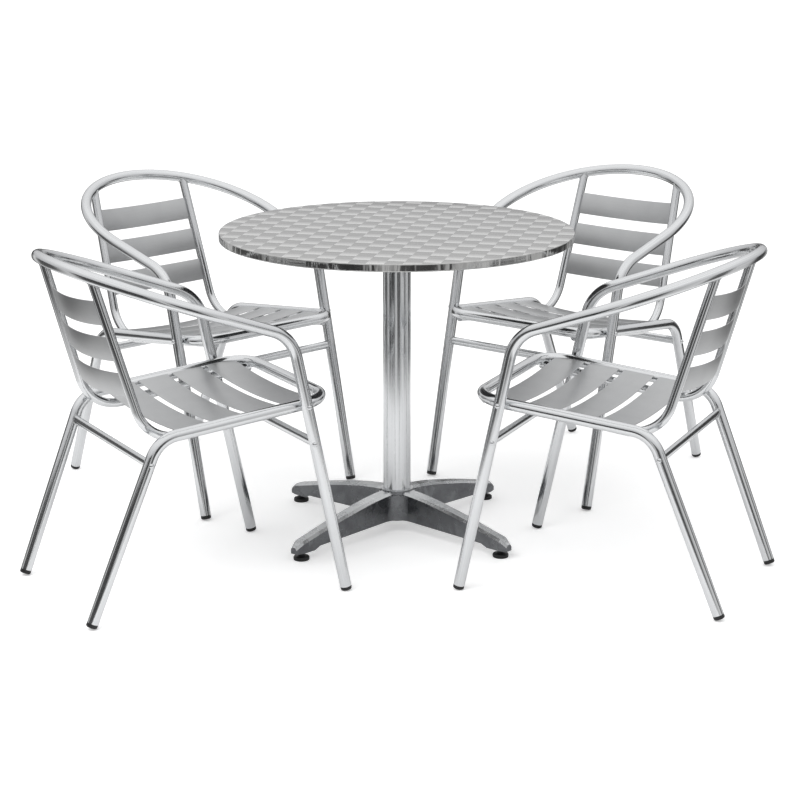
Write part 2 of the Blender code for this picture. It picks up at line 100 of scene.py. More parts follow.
# %% Colour and node helpers
def linear(code):
    """A linear RGBA colour from an sRGB hex code."""
    shares = [int(code[place:place + 2], 16) / 255.0 for place in (1, 3, 5)]
    return (*[c / 12.92 if c <= 0.04045 else ((c + 0.055) / 1.055) ** 2.4 for c in shares], 1.0)


def add(tree, kind, inputs=None, **settings):
    """Add a node, set its properties, and give each input a value or a link."""
    node = tree.nodes.new(kind)
    for name, value in settings.items():
        setattr(node, name, value)
    for name, value in (inputs or {}).items():
        if isinstance(value, bpy.types.NodeSocket):
            tree.links.new(value, node.inputs[name])
        else:
            node.inputs[name].default_value = value
    return node


def new_material(name, metallic, roughness):
    """A Principled material with the values that are the same all over it."""
    material = bpy.data.materials.new(name)
    material.use_nodes = True
    shader = material.node_tree.nodes["Principled BSDF"]
    shader.inputs["Metallic"].default_value = metallic
    shader.inputs["Roughness"].default_value = roughness
    return material, material.node_tree, shader


def pattern(tree, vector, sizes, **settings):
    """Noise on a vector; sizes are those of its lumps along X, Y and Z, in metres."""
    squeeze = add(tree, "ShaderNodeMapping", {
        "Vector": vector, "Scale": tuple(1.0 / size for size in sizes),
    })
    noise = add(tree, "ShaderNodeTexNoise", {
        "Vector": squeeze.outputs["Vector"], "Scale": 1.0, **settings,
    })
    return noise.outputs["Fac"]


def dress(tree, shader, tint, gloss, relief):
    """Give a shader its colour, roughness and relief, each from a pattern of its own.

    tint is (pattern, dark, pale), gloss is (pattern, low, high, smoothest, roughest), and
    relief is (pattern, strength, depth).
    """
    colour = add(tree, "ShaderNodeMix", {0: tint[0], 6: tint[1], 7: tint[2]}, data_type="RGBA")
    rough = add(tree, "ShaderNodeMapRange", {
        "Value": gloss[0], "From Min": gloss[1], "From Max": gloss[2], "To Min": gloss[3],
        "To Max": gloss[4],
    })
    bump = add(tree, "ShaderNodeBump", {
        "Height": relief[0], "Strength": relief[1], "Distance": relief[2],
    })
    tree.links.new(colour.outputs[2], shader.inputs["Base Color"])
    tree.links.new(rough.outputs["Result"], shader.inputs["Roughness"])
    tree.links.new(bump.outputs["Normal"], shader.inputs["Normal"])


def put_in_scene(name, data):
    """An object at the origin that shows a mesh, a light or a camera."""
    thing = bpy.data.objects.new(name, data)
    bpy.context.scene.collection.objects.link(thing)
    return thing


MM = 0.001
print("white is", [round(share, 3) for share in linear("#FFFFFF")])

# %% [markdown]
# ## Polished aluminium tube
# The frames are drawn 6063 aluminium tube, polished along its length before it is bent. The
# polish leaves fine straight lines that stretch every reflection along the tube. The lines
# could be an image, but a noise that is squeezed across the tube and stretched along it needs
# none. Each swept piece carries a vector called grain: its place across the section, and its
# distance along the path, in metres.

# %% Polished tube
STREAK_ACROSS = 1.6 * MM   # polishing lines are finer than this, but drawn wide enough to show
STREAK_ALONG = 180 * MM

polished_tube, tree, shader = new_material("polished_drawn_aluminium", 1.0, 0.14)
grain = add(tree, "ShaderNodeAttribute", attribute_name="grain").outputs["Vector"]
streak_sizes = (STREAK_ACROSS, STREAK_ACROSS, STREAK_ALONG)
streaks = pattern(tree, grain, streak_sizes, Detail=3.0, Roughness=0.6)
dress(
    tree, shader, tint=(streaks, linear("#C9CBCD"), linear("#F1F2F3")),
    gloss=(streaks, 0.3, 0.7, 0.09, 0.22), relief=(streaks, 0.35, 0.06 * MM),
)
print("made", polished_tube.name)

# %% [markdown]
# ## Satin anodised slats
# The slats are thin aluminium sheet, etched and anodised, so they are an even soft grey with
# only a faint rolling grain along their length. Anodising scatters light widely, which a
# roughness of 0.30 to 0.46 gives, and slow cloudy changes keep the sheet from looking painted.

# %% Satin slat
ROLLING_ACROSS = 1.2 * MM
ROLLING_ALONG = 120 * MM
CLOUD = 60 * MM

satin_slat, tree, shader = new_material("satin_anodised_aluminium", 1.0, 0.36)
grain = add(tree, "ShaderNodeAttribute", attribute_name="grain").outputs["Vector"]
rolling_sizes = (ROLLING_ACROSS, ROLLING_ACROSS, ROLLING_ALONG)
rolling = pattern(tree, grain, rolling_sizes, Detail=4.0, Roughness=0.65)
clouds = pattern(tree, grain, (CLOUD, CLOUD, CLOUD), Detail=2.0)
both = add(tree, "ShaderNodeMath", {0: rolling, 1: clouds}, operation="MULTIPLY")
dress(
    tree, shader, tint=(both.outputs["Value"], linear("#BFC0C1"), linear("#DCDDDD")),
    gloss=(rolling, 0.0, 1.0, 0.30, 0.46), relief=(rolling, 0.2, 0.05 * MM),
)
print("made", satin_slat.name)

# %% [markdown]
# ## Tumbled casting
# The base and the bracket are cast aluminium, tumbled to take off their sharp edges. A casting's
# skin has shallow pits, and its grey drifts. Light and shade are painted into its colour by how far
# a face points up: the tops of the arms get a painted paler grey, as if lit from above, and the
# sides a painted darker grey, as if in shade, so the change falls on the rounded ridges.

# %% Tumbled casting
PITS = 2.2 * MM            # real pits are under 1 mm, drawn coarser so that they show
DRIFT = 38 * MM            # how far apart the greys change

tumbled_casting, tree, shader = new_material("tumbled_cast_aluminium", 1.0, 0.32)
place = add(tree, "ShaderNodeTexCoord").outputs["Object"]
pits = pattern(tree, place, (PITS, PITS, PITS), Detail=3.0, Roughness=0.6)
drift = pattern(tree, place, (DRIFT, DRIFT, DRIFT), Detail=4.0, Roughness=0.6, Distortion=0.4)
faces = add(tree, "ShaderNodeNewGeometry")
upward = add(tree, "ShaderNodeSeparateXYZ", {0: faces.outputs["Normal"]})
# painted light and shade: faces that point up are painted paler, as if lit from above, and the
# sides darker, as if in shade
lit_top_mask = add(tree, "ShaderNodeMapRange", {
    "Value": upward.outputs["Z"], "From Min": 0.30, "From Max": 0.75,
}, interpolation_type="SMOOTHSTEP")
spread = add(tree, "ShaderNodeMapRange", {
    "Value": drift, "From Min": 0.3, "From Max": 0.7,
})
# the two greys of the painted shade on the sides and the painted light on the tops, each drifting
# at random
shaded_side_grey = add(tree, "ShaderNodeMix", {
    0: spread.outputs["Result"], 6: linear("#6C6D70"), 7: linear("#87898B"),
}, data_type="RGBA")
lit_top_grey = add(tree, "ShaderNodeMix", {
    0: spread.outputs["Result"], 6: linear("#BFC1C2"), 7: linear("#DADBDC"),
}, data_type="RGBA")
dress(
    tree, shader, tint=(lit_top_mask.outputs["Result"], shaded_side_grey.outputs[2], lit_top_grey.outputs[2]),
    gloss=(drift, 0.3, 0.7, 0.18, 0.34), relief=(pits, 0.18, 0.10 * MM),
)
print("made", tumbled_casting.name)

# %% [markdown]
# ## Cross-brushed stainless top
# The top's skin is stainless steel, brushed in square patches whose lines run one way and then
# the other, like a woven basket. Every second patch is painted lighter, a painted reflection of
# the light that it would catch, and each patch is painted brighter towards one edge, a painted
# highlight; the darker patches get painted shade towards one edge. A checker picks the patch, two
# stretched noises brush it both ways, and a ramp across each patch paints the bright edge.

# %% Cross-brushed top
PATCH = 38 * MM
PATCH_TURN = math.radians(-12.0)
BRUSH_ACROSS = 0.9 * MM    # real brush lines are near 0.2 mm, drawn wider so that they show
BRUSH_ALONG = 30 * MM
top_low, top_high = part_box("table_top")
table_axis = Vector(((top_low.x + top_high.x) / 2.0, (top_low.y + top_high.y) / 2.0, 0.0))

patterned_top, tree, shader = new_material("cross_brushed_stainless", 1.0, 0.3)
place = add(tree, "ShaderNodeTexCoord").outputs["Object"]
centred = add(tree, "ShaderNodeMapping", {
    "Vector": place,
    "Location": (table_axis.x, table_axis.y, 0.0),
    "Rotation": (0.0, 0.0, PATCH_TURN),
}, vector_type="TEXTURE")
patches = add(tree, "ShaderNodeMapping", {
    "Vector": centred.outputs["Vector"],
    "Location": (0.5, 0.5, 0.5),
    "Scale": (1.0 / PATCH, 1.0 / PATCH, 0.0),
})
checker = add(tree, "ShaderNodeTexChecker", {"Vector": patches.outputs["Vector"], "Scale": 1.0})
within = add(tree, "ShaderNodeVectorMath", {0: patches.outputs["Vector"]}, operation="FRACTION")
sides = add(tree, "ShaderNodeSeparateXYZ", {0: within.outputs["Vector"]})
# a size without end keeps the lines the same at every height
lines_x = pattern(tree, centred.outputs["Vector"], (BRUSH_ALONG, BRUSH_ACROSS, math.inf))
lines_y = pattern(tree, centred.outputs["Vector"], (BRUSH_ACROSS, BRUSH_ALONG, math.inf))
brushed = add(tree, "ShaderNodeMix", {
    0: checker.outputs["Fac"], 2: lines_x, 3: lines_y,
}, data_type="FLOAT")
# painted highlight: each lighter patch is painted brighter towards one edge
painted_highlight_ramp = add(tree, "ShaderNodeMapRange", {
    "Value": sides.outputs["Y"], "From Min": 0.0, "From Max": 1.0, "To Min": 1.0, "To Max": 0.30,
})
# painted shade: each darker patch is painted darker towards one edge
painted_shade_ramp = add(tree, "ShaderNodeMapRange", {
    "Value": sides.outputs["Y"], "From Min": 0.6, "From Max": 1.0, "To Min": 0.20, "To Max": 0.05,
})
# painted reflection: the checker paints every second patch lighter than the others
painted_patch_light = add(tree, "ShaderNodeMix", {
    0: checker.outputs["Fac"], 2: painted_shade_ramp.outputs["Result"], 3: painted_highlight_ramp.outputs["Result"],
}, data_type="FLOAT")
# the real brush lines plus the painted light and shade of the patches
brush_lines_and_painted_light = add(tree, "ShaderNodeMath", {
    0: brushed.outputs[0], 1: 0.35, 2: painted_patch_light.outputs[0],
}, operation="MULTIPLY_ADD")
dress(
    tree, shader, tint=(brush_lines_and_painted_light.outputs["Value"], linear("#9A9A99"), linear("#E9E9E8")),
    gloss=(painted_patch_light.outputs[0], 0.0, 1.0, 0.24, 0.40), relief=(brushed.outputs[0], 0.3, 0.12 * MM),
)
print("patches of", PATCH, "m round", [round(value, 4) for value in table_axis])

# %% [markdown]
# ## The other finishes
# The skin's rolled rim is the same steel, left bright, so it mirrors the room. The feet and
# plugs are moulded black polypropylene with a fine spark-eroded skin. The board under the top
# is backed with black paper, and the screws that hold the bracket are zinc plated.

# %% Rim, plastic, backing and plated steel
WAVE_ROUND_RIM = 19 * MM
WAVE_UP_RIM = 80 * MM

rolled_rim, tree, shader = new_material("bright_rolled_stainless", 1.0, 0.10)
place = add(tree, "ShaderNodeTexCoord").outputs["Object"]
waves = pattern(tree, place, (WAVE_ROUND_RIM, WAVE_ROUND_RIM, WAVE_UP_RIM), Detail=2.0)
dress(
    tree, shader, tint=(waves, linear("#A5A5A4"), linear("#D9D9D8")),
    gloss=(waves, 0.0, 1.0, 0.06, 0.20), relief=(waves, 0.35, 4.0 * MM),
)


def mottled(name, metallic, roughness, dark, pale, size, depth):
    """A material with a fine even skin: colour, gloss and relief from one noise."""
    material, tree, shader = new_material(name, metallic, roughness)
    place = add(tree, "ShaderNodeTexCoord").outputs["Object"]
    speckle = pattern(tree, place, (size, size, size), Detail=2.0)
    dress(
        tree, shader, tint=(speckle, linear(dark), linear(pale)),
        gloss=(speckle, 0.0, 1.0, roughness - 0.06, roughness + 0.06),
        relief=(speckle, 0.3, depth),
    )
    return material


moulded_black = mottled(
    "moulded_black_polypropylene", 0.0, 0.42, "#0D0D0E", "#1B1B1C", 1.1 * MM, 0.05 * MM
)
paper_backing = mottled(
    "black_paper_backing", 0.0, 0.62, "#17181A", "#222325", 2.5 * MM, 0.08 * MM
)
plated_steel = mottled(
    "zinc_plated_steel", 1.0, 0.26, "#AEB2B8", "#D5D8DC", 1.4 * MM, 0.03 * MM
)
print("made", rolled_rim.name, moulded_black.name, paper_backing.name, plated_steel.name)

# %% [markdown]
# ## A tree that sweeps a tube
# A bent tube is one round section carried along a path, so Geometry Nodes can make every one
# from its path, radius and number of sides. The tree also stores the grain vector. The section's
# own position gives the place across, so the grain has no seam where the section closes.

# %% The tube tree
def new_tree(name, sockets):
    """An empty geometry tree with named inputs, ready for its nodes."""
    tree = bpy.data.node_groups.new(name, "GeometryNodeTree")
    tree.interface.new_socket("Geometry", in_out="OUTPUT", socket_type="NodeSocketGeometry")
    tree.interface.new_socket("Geometry", in_out="INPUT", socket_type="NodeSocketGeometry")
    for socket, kind in sockets.items():
        tree.interface.new_socket(socket, in_out="INPUT", socket_type="NodeSocket" + kind)
    start = tree.nodes.new("NodeGroupInput")
    return tree, start.outputs


def end_tree(tree, geometry, material):
    """Realize what the tree made, paint it and send it out."""
    real = add(tree, "GeometryNodeRealizeInstances", {"Geometry": geometry})
    painted = add(tree, "GeometryNodeSetMaterial", {
        "Geometry": real.outputs["Geometry"], "Material": material,
    })
    add(tree, "NodeGroupOutput", {"Geometry": painted.outputs["Geometry"]})


def capture(tree, geometry, field, kind):
    """Hold a field's value on the geometry that it is read from."""
    node = tree.nodes.new("GeometryNodeCaptureAttribute")
    node.capture_items.new(kind, "Held")
    tree.links.new(geometry, node.inputs["Geometry"])
    tree.links.new(field, node.inputs["Held"])
    return node


def sweep(tree, path, section):
    """Carry a section along a path, store the grain vector and shade it smooth."""
    reach = add(tree, "GeometryNodeSplineParameter")
    held_path = capture(tree, path, reach.outputs["Length"], "FLOAT")
    where = add(tree, "GeometryNodeInputPosition")
    held_section = capture(tree, section, where.outputs["Position"], "VECTOR")
    swept = add(tree, "GeometryNodeCurveToMesh", {
        "Curve": held_path.outputs["Geometry"],
        "Profile Curve": held_section.outputs["Geometry"], "Fill Caps": True,
    })
    across = add(tree, "ShaderNodeSeparateXYZ", {0: held_section.outputs["Held"]})
    grain = add(tree, "ShaderNodeCombineXYZ", {
        "X": across.outputs["X"], "Y": across.outputs["Y"], "Z": held_path.outputs["Held"],
    })
    grained = add(tree, "GeometryNodeStoreNamedAttribute", {
        "Geometry": swept.outputs["Mesh"], "Name": "grain", "Value": grain.outputs["Vector"],
    }, data_type="FLOAT_VECTOR", domain="POINT")
    smooth = add(tree, "GeometryNodeSetShadeSmooth", {"Geometry": grained.outputs["Geometry"]})
    return smooth.outputs["Geometry"]


tube_tree, given = new_tree("swept_tube", {
    "Radius": "Float", "Sides": "Int", "Finish": "Material",
})
path = add(tube_tree, "GeometryNodeMeshToCurve", {"Mesh": given["Geometry"]})
section = add(tube_tree, "GeometryNodeCurvePrimitiveCircle", {
    "Resolution": given["Sides"], "Radius": given["Radius"],
})
wall = sweep(tube_tree, path.outputs["Curve"], section.outputs["Curve"])
end_tree(tube_tree, wall, given["Finish"])
print(tube_tree.name, "has", len(tube_tree.nodes), "nodes")

# %% [markdown]
# ## Running a tree
# The path goes in as the edges of a small mesh. The tree's inputs are set by their sockets'
# identifiers before the object is first evaluated, and what comes out is kept as a plain mesh,
# so that no modifier is left for the export.

# %% Run a tree
def run_tree(tree, name, points, edges=(), attributes=None, **values):
    """The mesh that a tree makes from points, as a plain mesh."""
    seed = bpy.data.meshes.new(name)
    seed.from_pydata([tuple(point) for point in points], list(edges), [])
    for key, vectors in (attributes or {}).items():
        stored = seed.attributes.new(key, "FLOAT_VECTOR", "POINT")
        stored.data.foreach_set("vector", [share for vector in vectors for share in vector])
    host = put_in_scene(name, seed)
    modifier = host.modifiers.new(tree.name, "NODES")
    modifier.node_group = tree
    for item in tree.interface.items_tree:
        if item.in_out == "INPUT" and item.name in values:
            modifier[item.identifier] = values[item.name]
    bpy.context.view_layer.update()
    graph = bpy.context.evaluated_depsgraph_get()
    mesh = bpy.data.meshes.new_from_object(
        host.evaluated_get(graph), preserve_all_data_layers=True, depsgraph=graph
    )
    bpy.data.objects.remove(host, do_unlink=True)
    bpy.data.meshes.remove(seed)
    return mesh


def chain(count, closed=False):
    """Edges that join a run of points, and close it if asked."""
    edges = [(place, place + 1) for place in range(count - 1)]
    return edges + [(count - 1, 0)] if closed else edges


def tube(name, points, radius, finish, sides=28, closed=False):
    edges = chain(len(points), closed)
    return run_tree(tube_tree, name, points, edges, Radius=radius, Sides=sides, Finish=finish)


print("a chain of three points has edges", chain(3), "and closed", chain(3, closed=True))

# %% [markdown]
# ## The chair's bent paths
# A chair has two main tubes. The arm hoop is a front leg, a bend, an arm, an oval back, and the
# same again; its arms and back lie in one plane that rises to the rear. The seat frame is a
# rear leg, a bend, a side rail and the front rail. Two thinner uprights run from the back, bend
# under the seat and end at the front rail. The paths repeat the CAD's own rules, with finer
# steps, in the chair's frame: +X to the sitter's right and +Y forward. The hoop's back is a
# little lower than in the CAD, because a round section stands prouder than a flat-sided one.

# %% Chair sizes
FRAME_RADIUS = 12.5 * MM
UPRIGHT_RADIUS = 10.0 * MM
FRONT_FOOT = (0.2345, 0.2660)
ARM_BEND = (0.2355, 0.1430, 0.5690)
ARM_BEND_RADIUS = 0.088
OVAL_CENTRE_Y = -0.0468
OVAL_HALF_WIDTH = 0.2600
OVAL_DEPTH = 0.2472
HOOP_BACK_HEIGHT = 0.7284
REAR_FOOT = (0.1940, -0.3015)
RAIL_X = 0.2095
RAIL_REAR = (-0.1475, 0.3830)
RAIL_FRONT = (0.2450, 0.4215)
RAIL_REAR_BEND_RADIUS = 0.066
RAIL_CORNER_RADIUS = 0.068
UPRIGHT_TOP = (0.1400, -0.2527)
UPRIGHT_BEND = (0.1560, -0.1495)
UPRIGHT_FRONT = (0.1700, 0.2370)
UPRIGHT_BELOW_RAIL_AT_BEND = 0.0220
UPRIGHT_BELOW_RAIL_AT_FRONT = 0.0105
UPRIGHT_BEND_RADIUS = 0.088
FRONT_TIE_Z = 0.336
REAR_TIE_Z = 0.333
BEND_STEPS = 20
OVAL_STEPS = 36


# %% Chair paths
def bent_path(corners, radii):
    """Round each inner corner of a path with an arc of its radius."""
    corners = [Vector(corner) for corner in corners]
    path = [corners[0]]
    for before, corner, after, radius in zip(corners, corners[1:], corners[2:], radii):
        back = (before - corner).normalized()
        on = (after - corner).normalized()
        half_angle = back.angle(on) / 2.0
        centre = corner + (back + on).normalized() * (radius / math.sin(half_angle))
        spoke = corner + back * (radius / math.tan(half_angle)) - centre
        axis = back.cross(on).normalized()
        swing = math.pi - 2.0 * half_angle
        for step in range(BEND_STEPS + 1):
            path.append(centre + Matrix.Rotation(-swing * step / BEND_STEPS, 3, axis) @ spoke)
    return path + [corners[-1]]


def stood_on_floor(foot, above, radius):
    """Lift a leg's end so that the low edge of its slanted cut stands on the floor."""
    start = Vector((*foot, 0.0))
    slant = (Vector(above) - start).normalized()
    return start + slant * (radius * math.hypot(slant.x, slant.y) / slant.z)


def both_sides(half):
    """Join a half path that ends on the plane X = 0 to its mirror image."""
    return half + [Vector((-point.x, point.y, point.z)) for point in reversed(half[:-1])]


def hoop_height(y):
    share = (ARM_BEND[1] - y) / (ARM_BEND[1] - OVAL_CENTRE_Y + OVAL_DEPTH)
    return ARM_BEND[2] + (HOOP_BACK_HEIGHT - ARM_BEND[2]) * share


def back_oval(angle):
    y = OVAL_CENTRE_Y + OVAL_DEPTH * math.sin(angle)
    return Vector((OVAL_HALF_WIDTH * math.cos(angle), y, hoop_height(y)))


def hoop_half():
    across = ARM_BEND[0] / OVAL_HALF_WIDTH
    along = (ARM_BEND[1] - OVAL_CENTRE_Y) / OVAL_DEPTH
    tangent = math.atan2(along, across) - math.acos(1.0 / math.hypot(across, along))
    foot = stood_on_floor(FRONT_FOOT, ARM_BEND, FRAME_RADIUS)
    half = bent_path((foot, ARM_BEND, back_oval(tangent)), (ARM_BEND_RADIUS,))
    for step in range(1, OVAL_STEPS + 1):
        half.append(back_oval(tangent - (tangent + math.pi / 2.0) * step / OVAL_STEPS))
    half[-1].x = 0.0
    return half


def rail_height(y):
    rise = (RAIL_FRONT[1] - RAIL_REAR[1]) / (RAIL_FRONT[0] - RAIL_REAR[0])
    return RAIL_REAR[1] + rise * (y - RAIL_REAR[0])


rear_bend = (RAIL_X, *RAIL_REAR)
rear_foot = stood_on_floor(REAR_FOOT, rear_bend, FRAME_RADIUS)
seat_half = bent_path(
    (rear_foot, rear_bend, (RAIL_X, *RAIL_FRONT), (0.0, *RAIL_FRONT)),
    (RAIL_REAR_BEND_RADIUS, RAIL_CORNER_RADIUS),
)
hoop_path = both_sides(hoop_half())
seat_path = both_sides(seat_half)
upright_corners = [
    Vector((*UPRIGHT_TOP, hoop_height(UPRIGHT_TOP[1]))),
    Vector((*UPRIGHT_BEND, rail_height(UPRIGHT_BEND[1]) - UPRIGHT_BELOW_RAIL_AT_BEND)),
    Vector((*UPRIGHT_FRONT, rail_height(UPRIGHT_FRONT[1]) - UPRIGHT_BELOW_RAIL_AT_FRONT)),
]
print("hoop", len(hoop_path), "points, seat frame", len(seat_path), "points")

# %% [markdown]
# ## Where each chair stands
# Nothing here is placed by eye. A chair's pull-out joint points straight back from its sitter,
# and its rear stretcher lies level and square across it, so the middle of that node's reach,
# along and across, gives the chair's origin.

# %% Chair places
def on_line(low, high, height):
    """The point of a straight run at a height."""
    low, high = Vector(low), Vector(high)
    return low.lerp(high, (height - low.z) / (high.z - low.z))


def middle_along(node, direction):
    """Middle of a CAD node's reach along a direction."""
    reach = [vertex.co.dot(direction) for vertex in frame["nodes"][node].data.vertices]
    return (min(reach) + max(reach)) / 2.0


rear_tie = on_line((*REAR_FOOT, 0.0), rear_bend, REAR_TIE_Z)
front_tie = on_line((*FRONT_FOOT, 0.0), ARM_BEND, FRONT_TIE_Z)


def chair_place(chair):
    """The matrix from a chair's own frame to the set's."""
    back = next(joint["axis"] for joint in frame["joints"] if joint["child"] == chair)
    facing = -Vector(back).normalized()
    right = Vector((facing.y, -facing.x, 0.0))
    node = chair + "_rear_stretcher"
    origin = right * middle_along(node, right)
    origin += facing * (middle_along(node, facing) - rear_tie.y)
    return Matrix((
        (right.x, facing.x, 0.0, origin.x),
        (right.y, facing.y, 0.0, origin.y),
        (0.0, 0.0, 1.0, 0.0),
        (0.0, 0.0, 0.0, 1.0),
    ))


CHAIRS = [f"chair_{number}" for number in (1, 2, 3, 4)]
places = {chair: chair_place(chair) for chair in CHAIRS}
for chair, place in places.items():
    print(chair, "stands at", [round(value, 4) for value in place.translation])

# %% [markdown]
# ## Tubes of one chair
# Each tube stops where its black plug begins. The uprights and stretchers run a little way
# into the tubes that they are welded to, as a saddle-cut joint looks closed from outside.
# A stretcher is an oval tube, so a round one is swept and then flattened.

# %% Chair tubes
PLUG_HEIGHT = 9 * MM
STRETCHER_HALF_HEIGHT = 10.0 * MM
STRETCHER_HALF_DEPTH = 6.5 * MM
INTO_WELD = 6 * MM


def trimmed(points, length):
    """A path with its first and last straight runs shortened at their free ends."""
    points = list(points)
    points[0] = points[0] + (points[1] - points[0]).normalized() * length
    points[-1] = points[-1] + (points[-2] - points[-1]).normalized() * length
    return points


def upright(side):
    corners = [Vector((side * corner.x, corner.y, corner.z)) for corner in upright_corners]
    return bent_path(corners, (UPRIGHT_BEND_RADIUS,))


def stretcher(name, middle):
    reach = middle.x - FRAME_RADIUS + INTO_WELD
    ends = [Vector((-reach, 0.0, 0.0)), Vector((reach, 0.0, 0.0))]
    mesh = tube(name, ends, STRETCHER_HALF_HEIGHT, polished_tube, sides=24)
    mesh.transform(Matrix.Diagonal((1.0, STRETCHER_HALF_DEPTH / STRETCHER_HALF_HEIGHT, 1.0, 1.0)))
    mesh.transform(Matrix.Translation((0.0, middle.y, middle.z)))
    return mesh


chair_meshes = {
    "arm_hoop_tube": tube("arm_hoop", trimmed(hoop_path, PLUG_HEIGHT), FRAME_RADIUS, polished_tube),
    "seat_frame_tube": tube(
        "seat_frame", trimmed(seat_path, PLUG_HEIGHT), FRAME_RADIUS, polished_tube
    ),
    "right_upright_tube": tube("right_upright", upright(1.0), UPRIGHT_RADIUS, polished_tube, 24),
    "left_upright_tube": tube("left_upright", upright(-1.0), UPRIGHT_RADIUS, polished_tube, 24),
    "front_stretcher_tube": stretcher("front_stretcher", front_tie),
    "rear_stretcher_tube": stretcher("rear_stretcher", rear_tie),
}
for name, mesh in chair_meshes.items():
    print(name, len(mesh.polygons), "faces")

# %% [markdown]
# ## A tree that lays slats
# A slat is a thin rounded strip that sags between its ends, and the slats of a seat or a back
# follow one another at an even pitch. So one tree bends a line, sweeps the strip's section
# along it, and repeats it. Length and sag are inputs; the last slat may be shorter than the
# first, because the uprights draw together towards the top of the back.

# %% The slat tree
SLAT_THICKNESS = 2.0 * MM
SLAT_EDGE_SHARE = 0.48     # the edge's rounding, as a share of the thickness
SLAT_BOW_POINTS = 33

slat_tree, given = new_tree("bowed_slats", {
    "Count": "Int", "Pitch": "Float", "Half Length": "Float", "Last Stretch": "Float",
    "Width": "Float", "Sag": "Float", "Thickness": "Float", "Finish": "Material",
})
right_end = add(slat_tree, "ShaderNodeCombineXYZ", {"X": given["Half Length"]})
left_end = add(slat_tree, "ShaderNodeVectorMath", {
    0: right_end.outputs["Vector"], "Scale": -1.0,
}, operation="SCALE")
flat_line = add(slat_tree, "GeometryNodeCurvePrimitiveLine", {
    "Start": left_end.outputs["Vector"], "End": right_end.outputs["Vector"],
})
fine_line = add(slat_tree, "GeometryNodeResampleCurve", {
    "Curve": flat_line.outputs["Curve"], "Count": SLAT_BOW_POINTS,
})
reach = add(slat_tree, "GeometryNodeSplineParameter")
signed = add(slat_tree, "ShaderNodeMath", {
    0: reach.outputs["Factor"], 1: 2.0, 2: -1.0,
}, operation="MULTIPLY_ADD")
below = add(slat_tree, "ShaderNodeMath", {
    0: signed.outputs["Value"], 1: signed.outputs["Value"], 2: -1.0,
}, operation="MULTIPLY_ADD")
drop = add(slat_tree, "ShaderNodeMath", {
    0: below.outputs["Value"], 1: given["Sag"],
}, operation="MULTIPLY")
lower = add(slat_tree, "ShaderNodeCombineXYZ", {"Z": drop.outputs["Value"]})
bowed = add(slat_tree, "GeometryNodeSetPosition", {
    "Geometry": fine_line.outputs["Curve"], "Offset": lower.outputs["Vector"],
})
level = add(slat_tree, "GeometryNodeSetCurveNormal", {
    "Curve": bowed.outputs["Geometry"],
}, mode="Z_UP")
strip = add(slat_tree, "GeometryNodeCurvePrimitiveQuadrilateral", {
    "Width": given["Width"], "Height": given["Thickness"],
})
corner = add(slat_tree, "ShaderNodeMath", {
    0: given["Thickness"], 1: SLAT_EDGE_SHARE,
}, operation="MULTIPLY")
rounded = add(slat_tree, "GeometryNodeFilletCurve", {
    "Curve": strip.outputs["Curve"], "Count": 3, "Radius": corner.outputs["Value"],
}, mode="POLY")
slat = sweep(slat_tree, level.outputs["Curve"], rounded.outputs["Curve"])
step = add(slat_tree, "ShaderNodeCombineXYZ", {"Y": given["Pitch"]})
row = add(slat_tree, "GeometryNodeMeshLine", {
    "Count": given["Count"], "Offset": step.outputs["Vector"],
})
number = add(slat_tree, "GeometryNodeInputIndex")
stretch = add(slat_tree, "ShaderNodeMapRange", {
    "Value": number.outputs["Index"], "From Min": 0.0, "From Max": given["Count"],
    "To Min": 1.0, "To Max": given["Last Stretch"],
})
longer = add(slat_tree, "ShaderNodeCombineXYZ", {
    "X": stretch.outputs["Result"], "Y": 1.0, "Z": 1.0,
})
slats = add(slat_tree, "GeometryNodeInstanceOnPoints", {
    "Points": row.outputs["Mesh"], "Instance": slat, "Scale": longer.outputs["Vector"],
})
end_tree(slat_tree, slats.outputs["Instances"], given["Finish"])
print(slat_tree.name, "has", len(slat_tree.nodes), "nodes")

# %% Seat and back slats
SEAT_SLATS = 4
SEAT_SLAT_WIDTH = 69 * MM
SEAT_SLAT_PITCH = 81 * MM
SEAT_FIRST_Y = -66 * MM
SEAT_ABOVE_RAIL = 5 * MM
SEAT_SAG = 12 * MM
BACK_SLATS = 3
BACK_SLAT_WIDTH = 54 * MM
BACK_SLAT_PITCH = 76 * MM
BACK_BOTTOM_Z = 0.486
BACK_BOW = 25 * MM
INTO_TUBE = 2.5 * MM       # how far a slat's end runs into the tube that it is welded to


def slat_row(name, half_length, last_stretch, **sizes):
    """A row of slats; half_length is the first one's, and the last is stretched."""
    sizes |= {"Half Length": half_length, "Last Stretch": last_stretch}
    return run_tree(slat_tree, name, [(0.0, 0.0, 0.0)], Thickness=SLAT_THICKNESS,
                    Finish=satin_slat, **sizes)


slope = math.atan(rail_height(1.0) - rail_height(0.0))
seat_slats = slat_row(
    "seat_slats", RAIL_X - FRAME_RADIUS + INTO_TUBE, 1.0, Count=SEAT_SLATS,
    Pitch=SEAT_SLAT_PITCH / math.cos(slope), Width=SEAT_SLAT_WIDTH, Sag=SEAT_SAG,
)
first_seat_slat = Vector((0.0, SEAT_FIRST_Y, rail_height(SEAT_FIRST_Y) + SEAT_ABOVE_RAIL))
seat_slats.transform(Matrix.Translation(first_seat_slat) @ Matrix.Rotation(slope, 4, "X"))

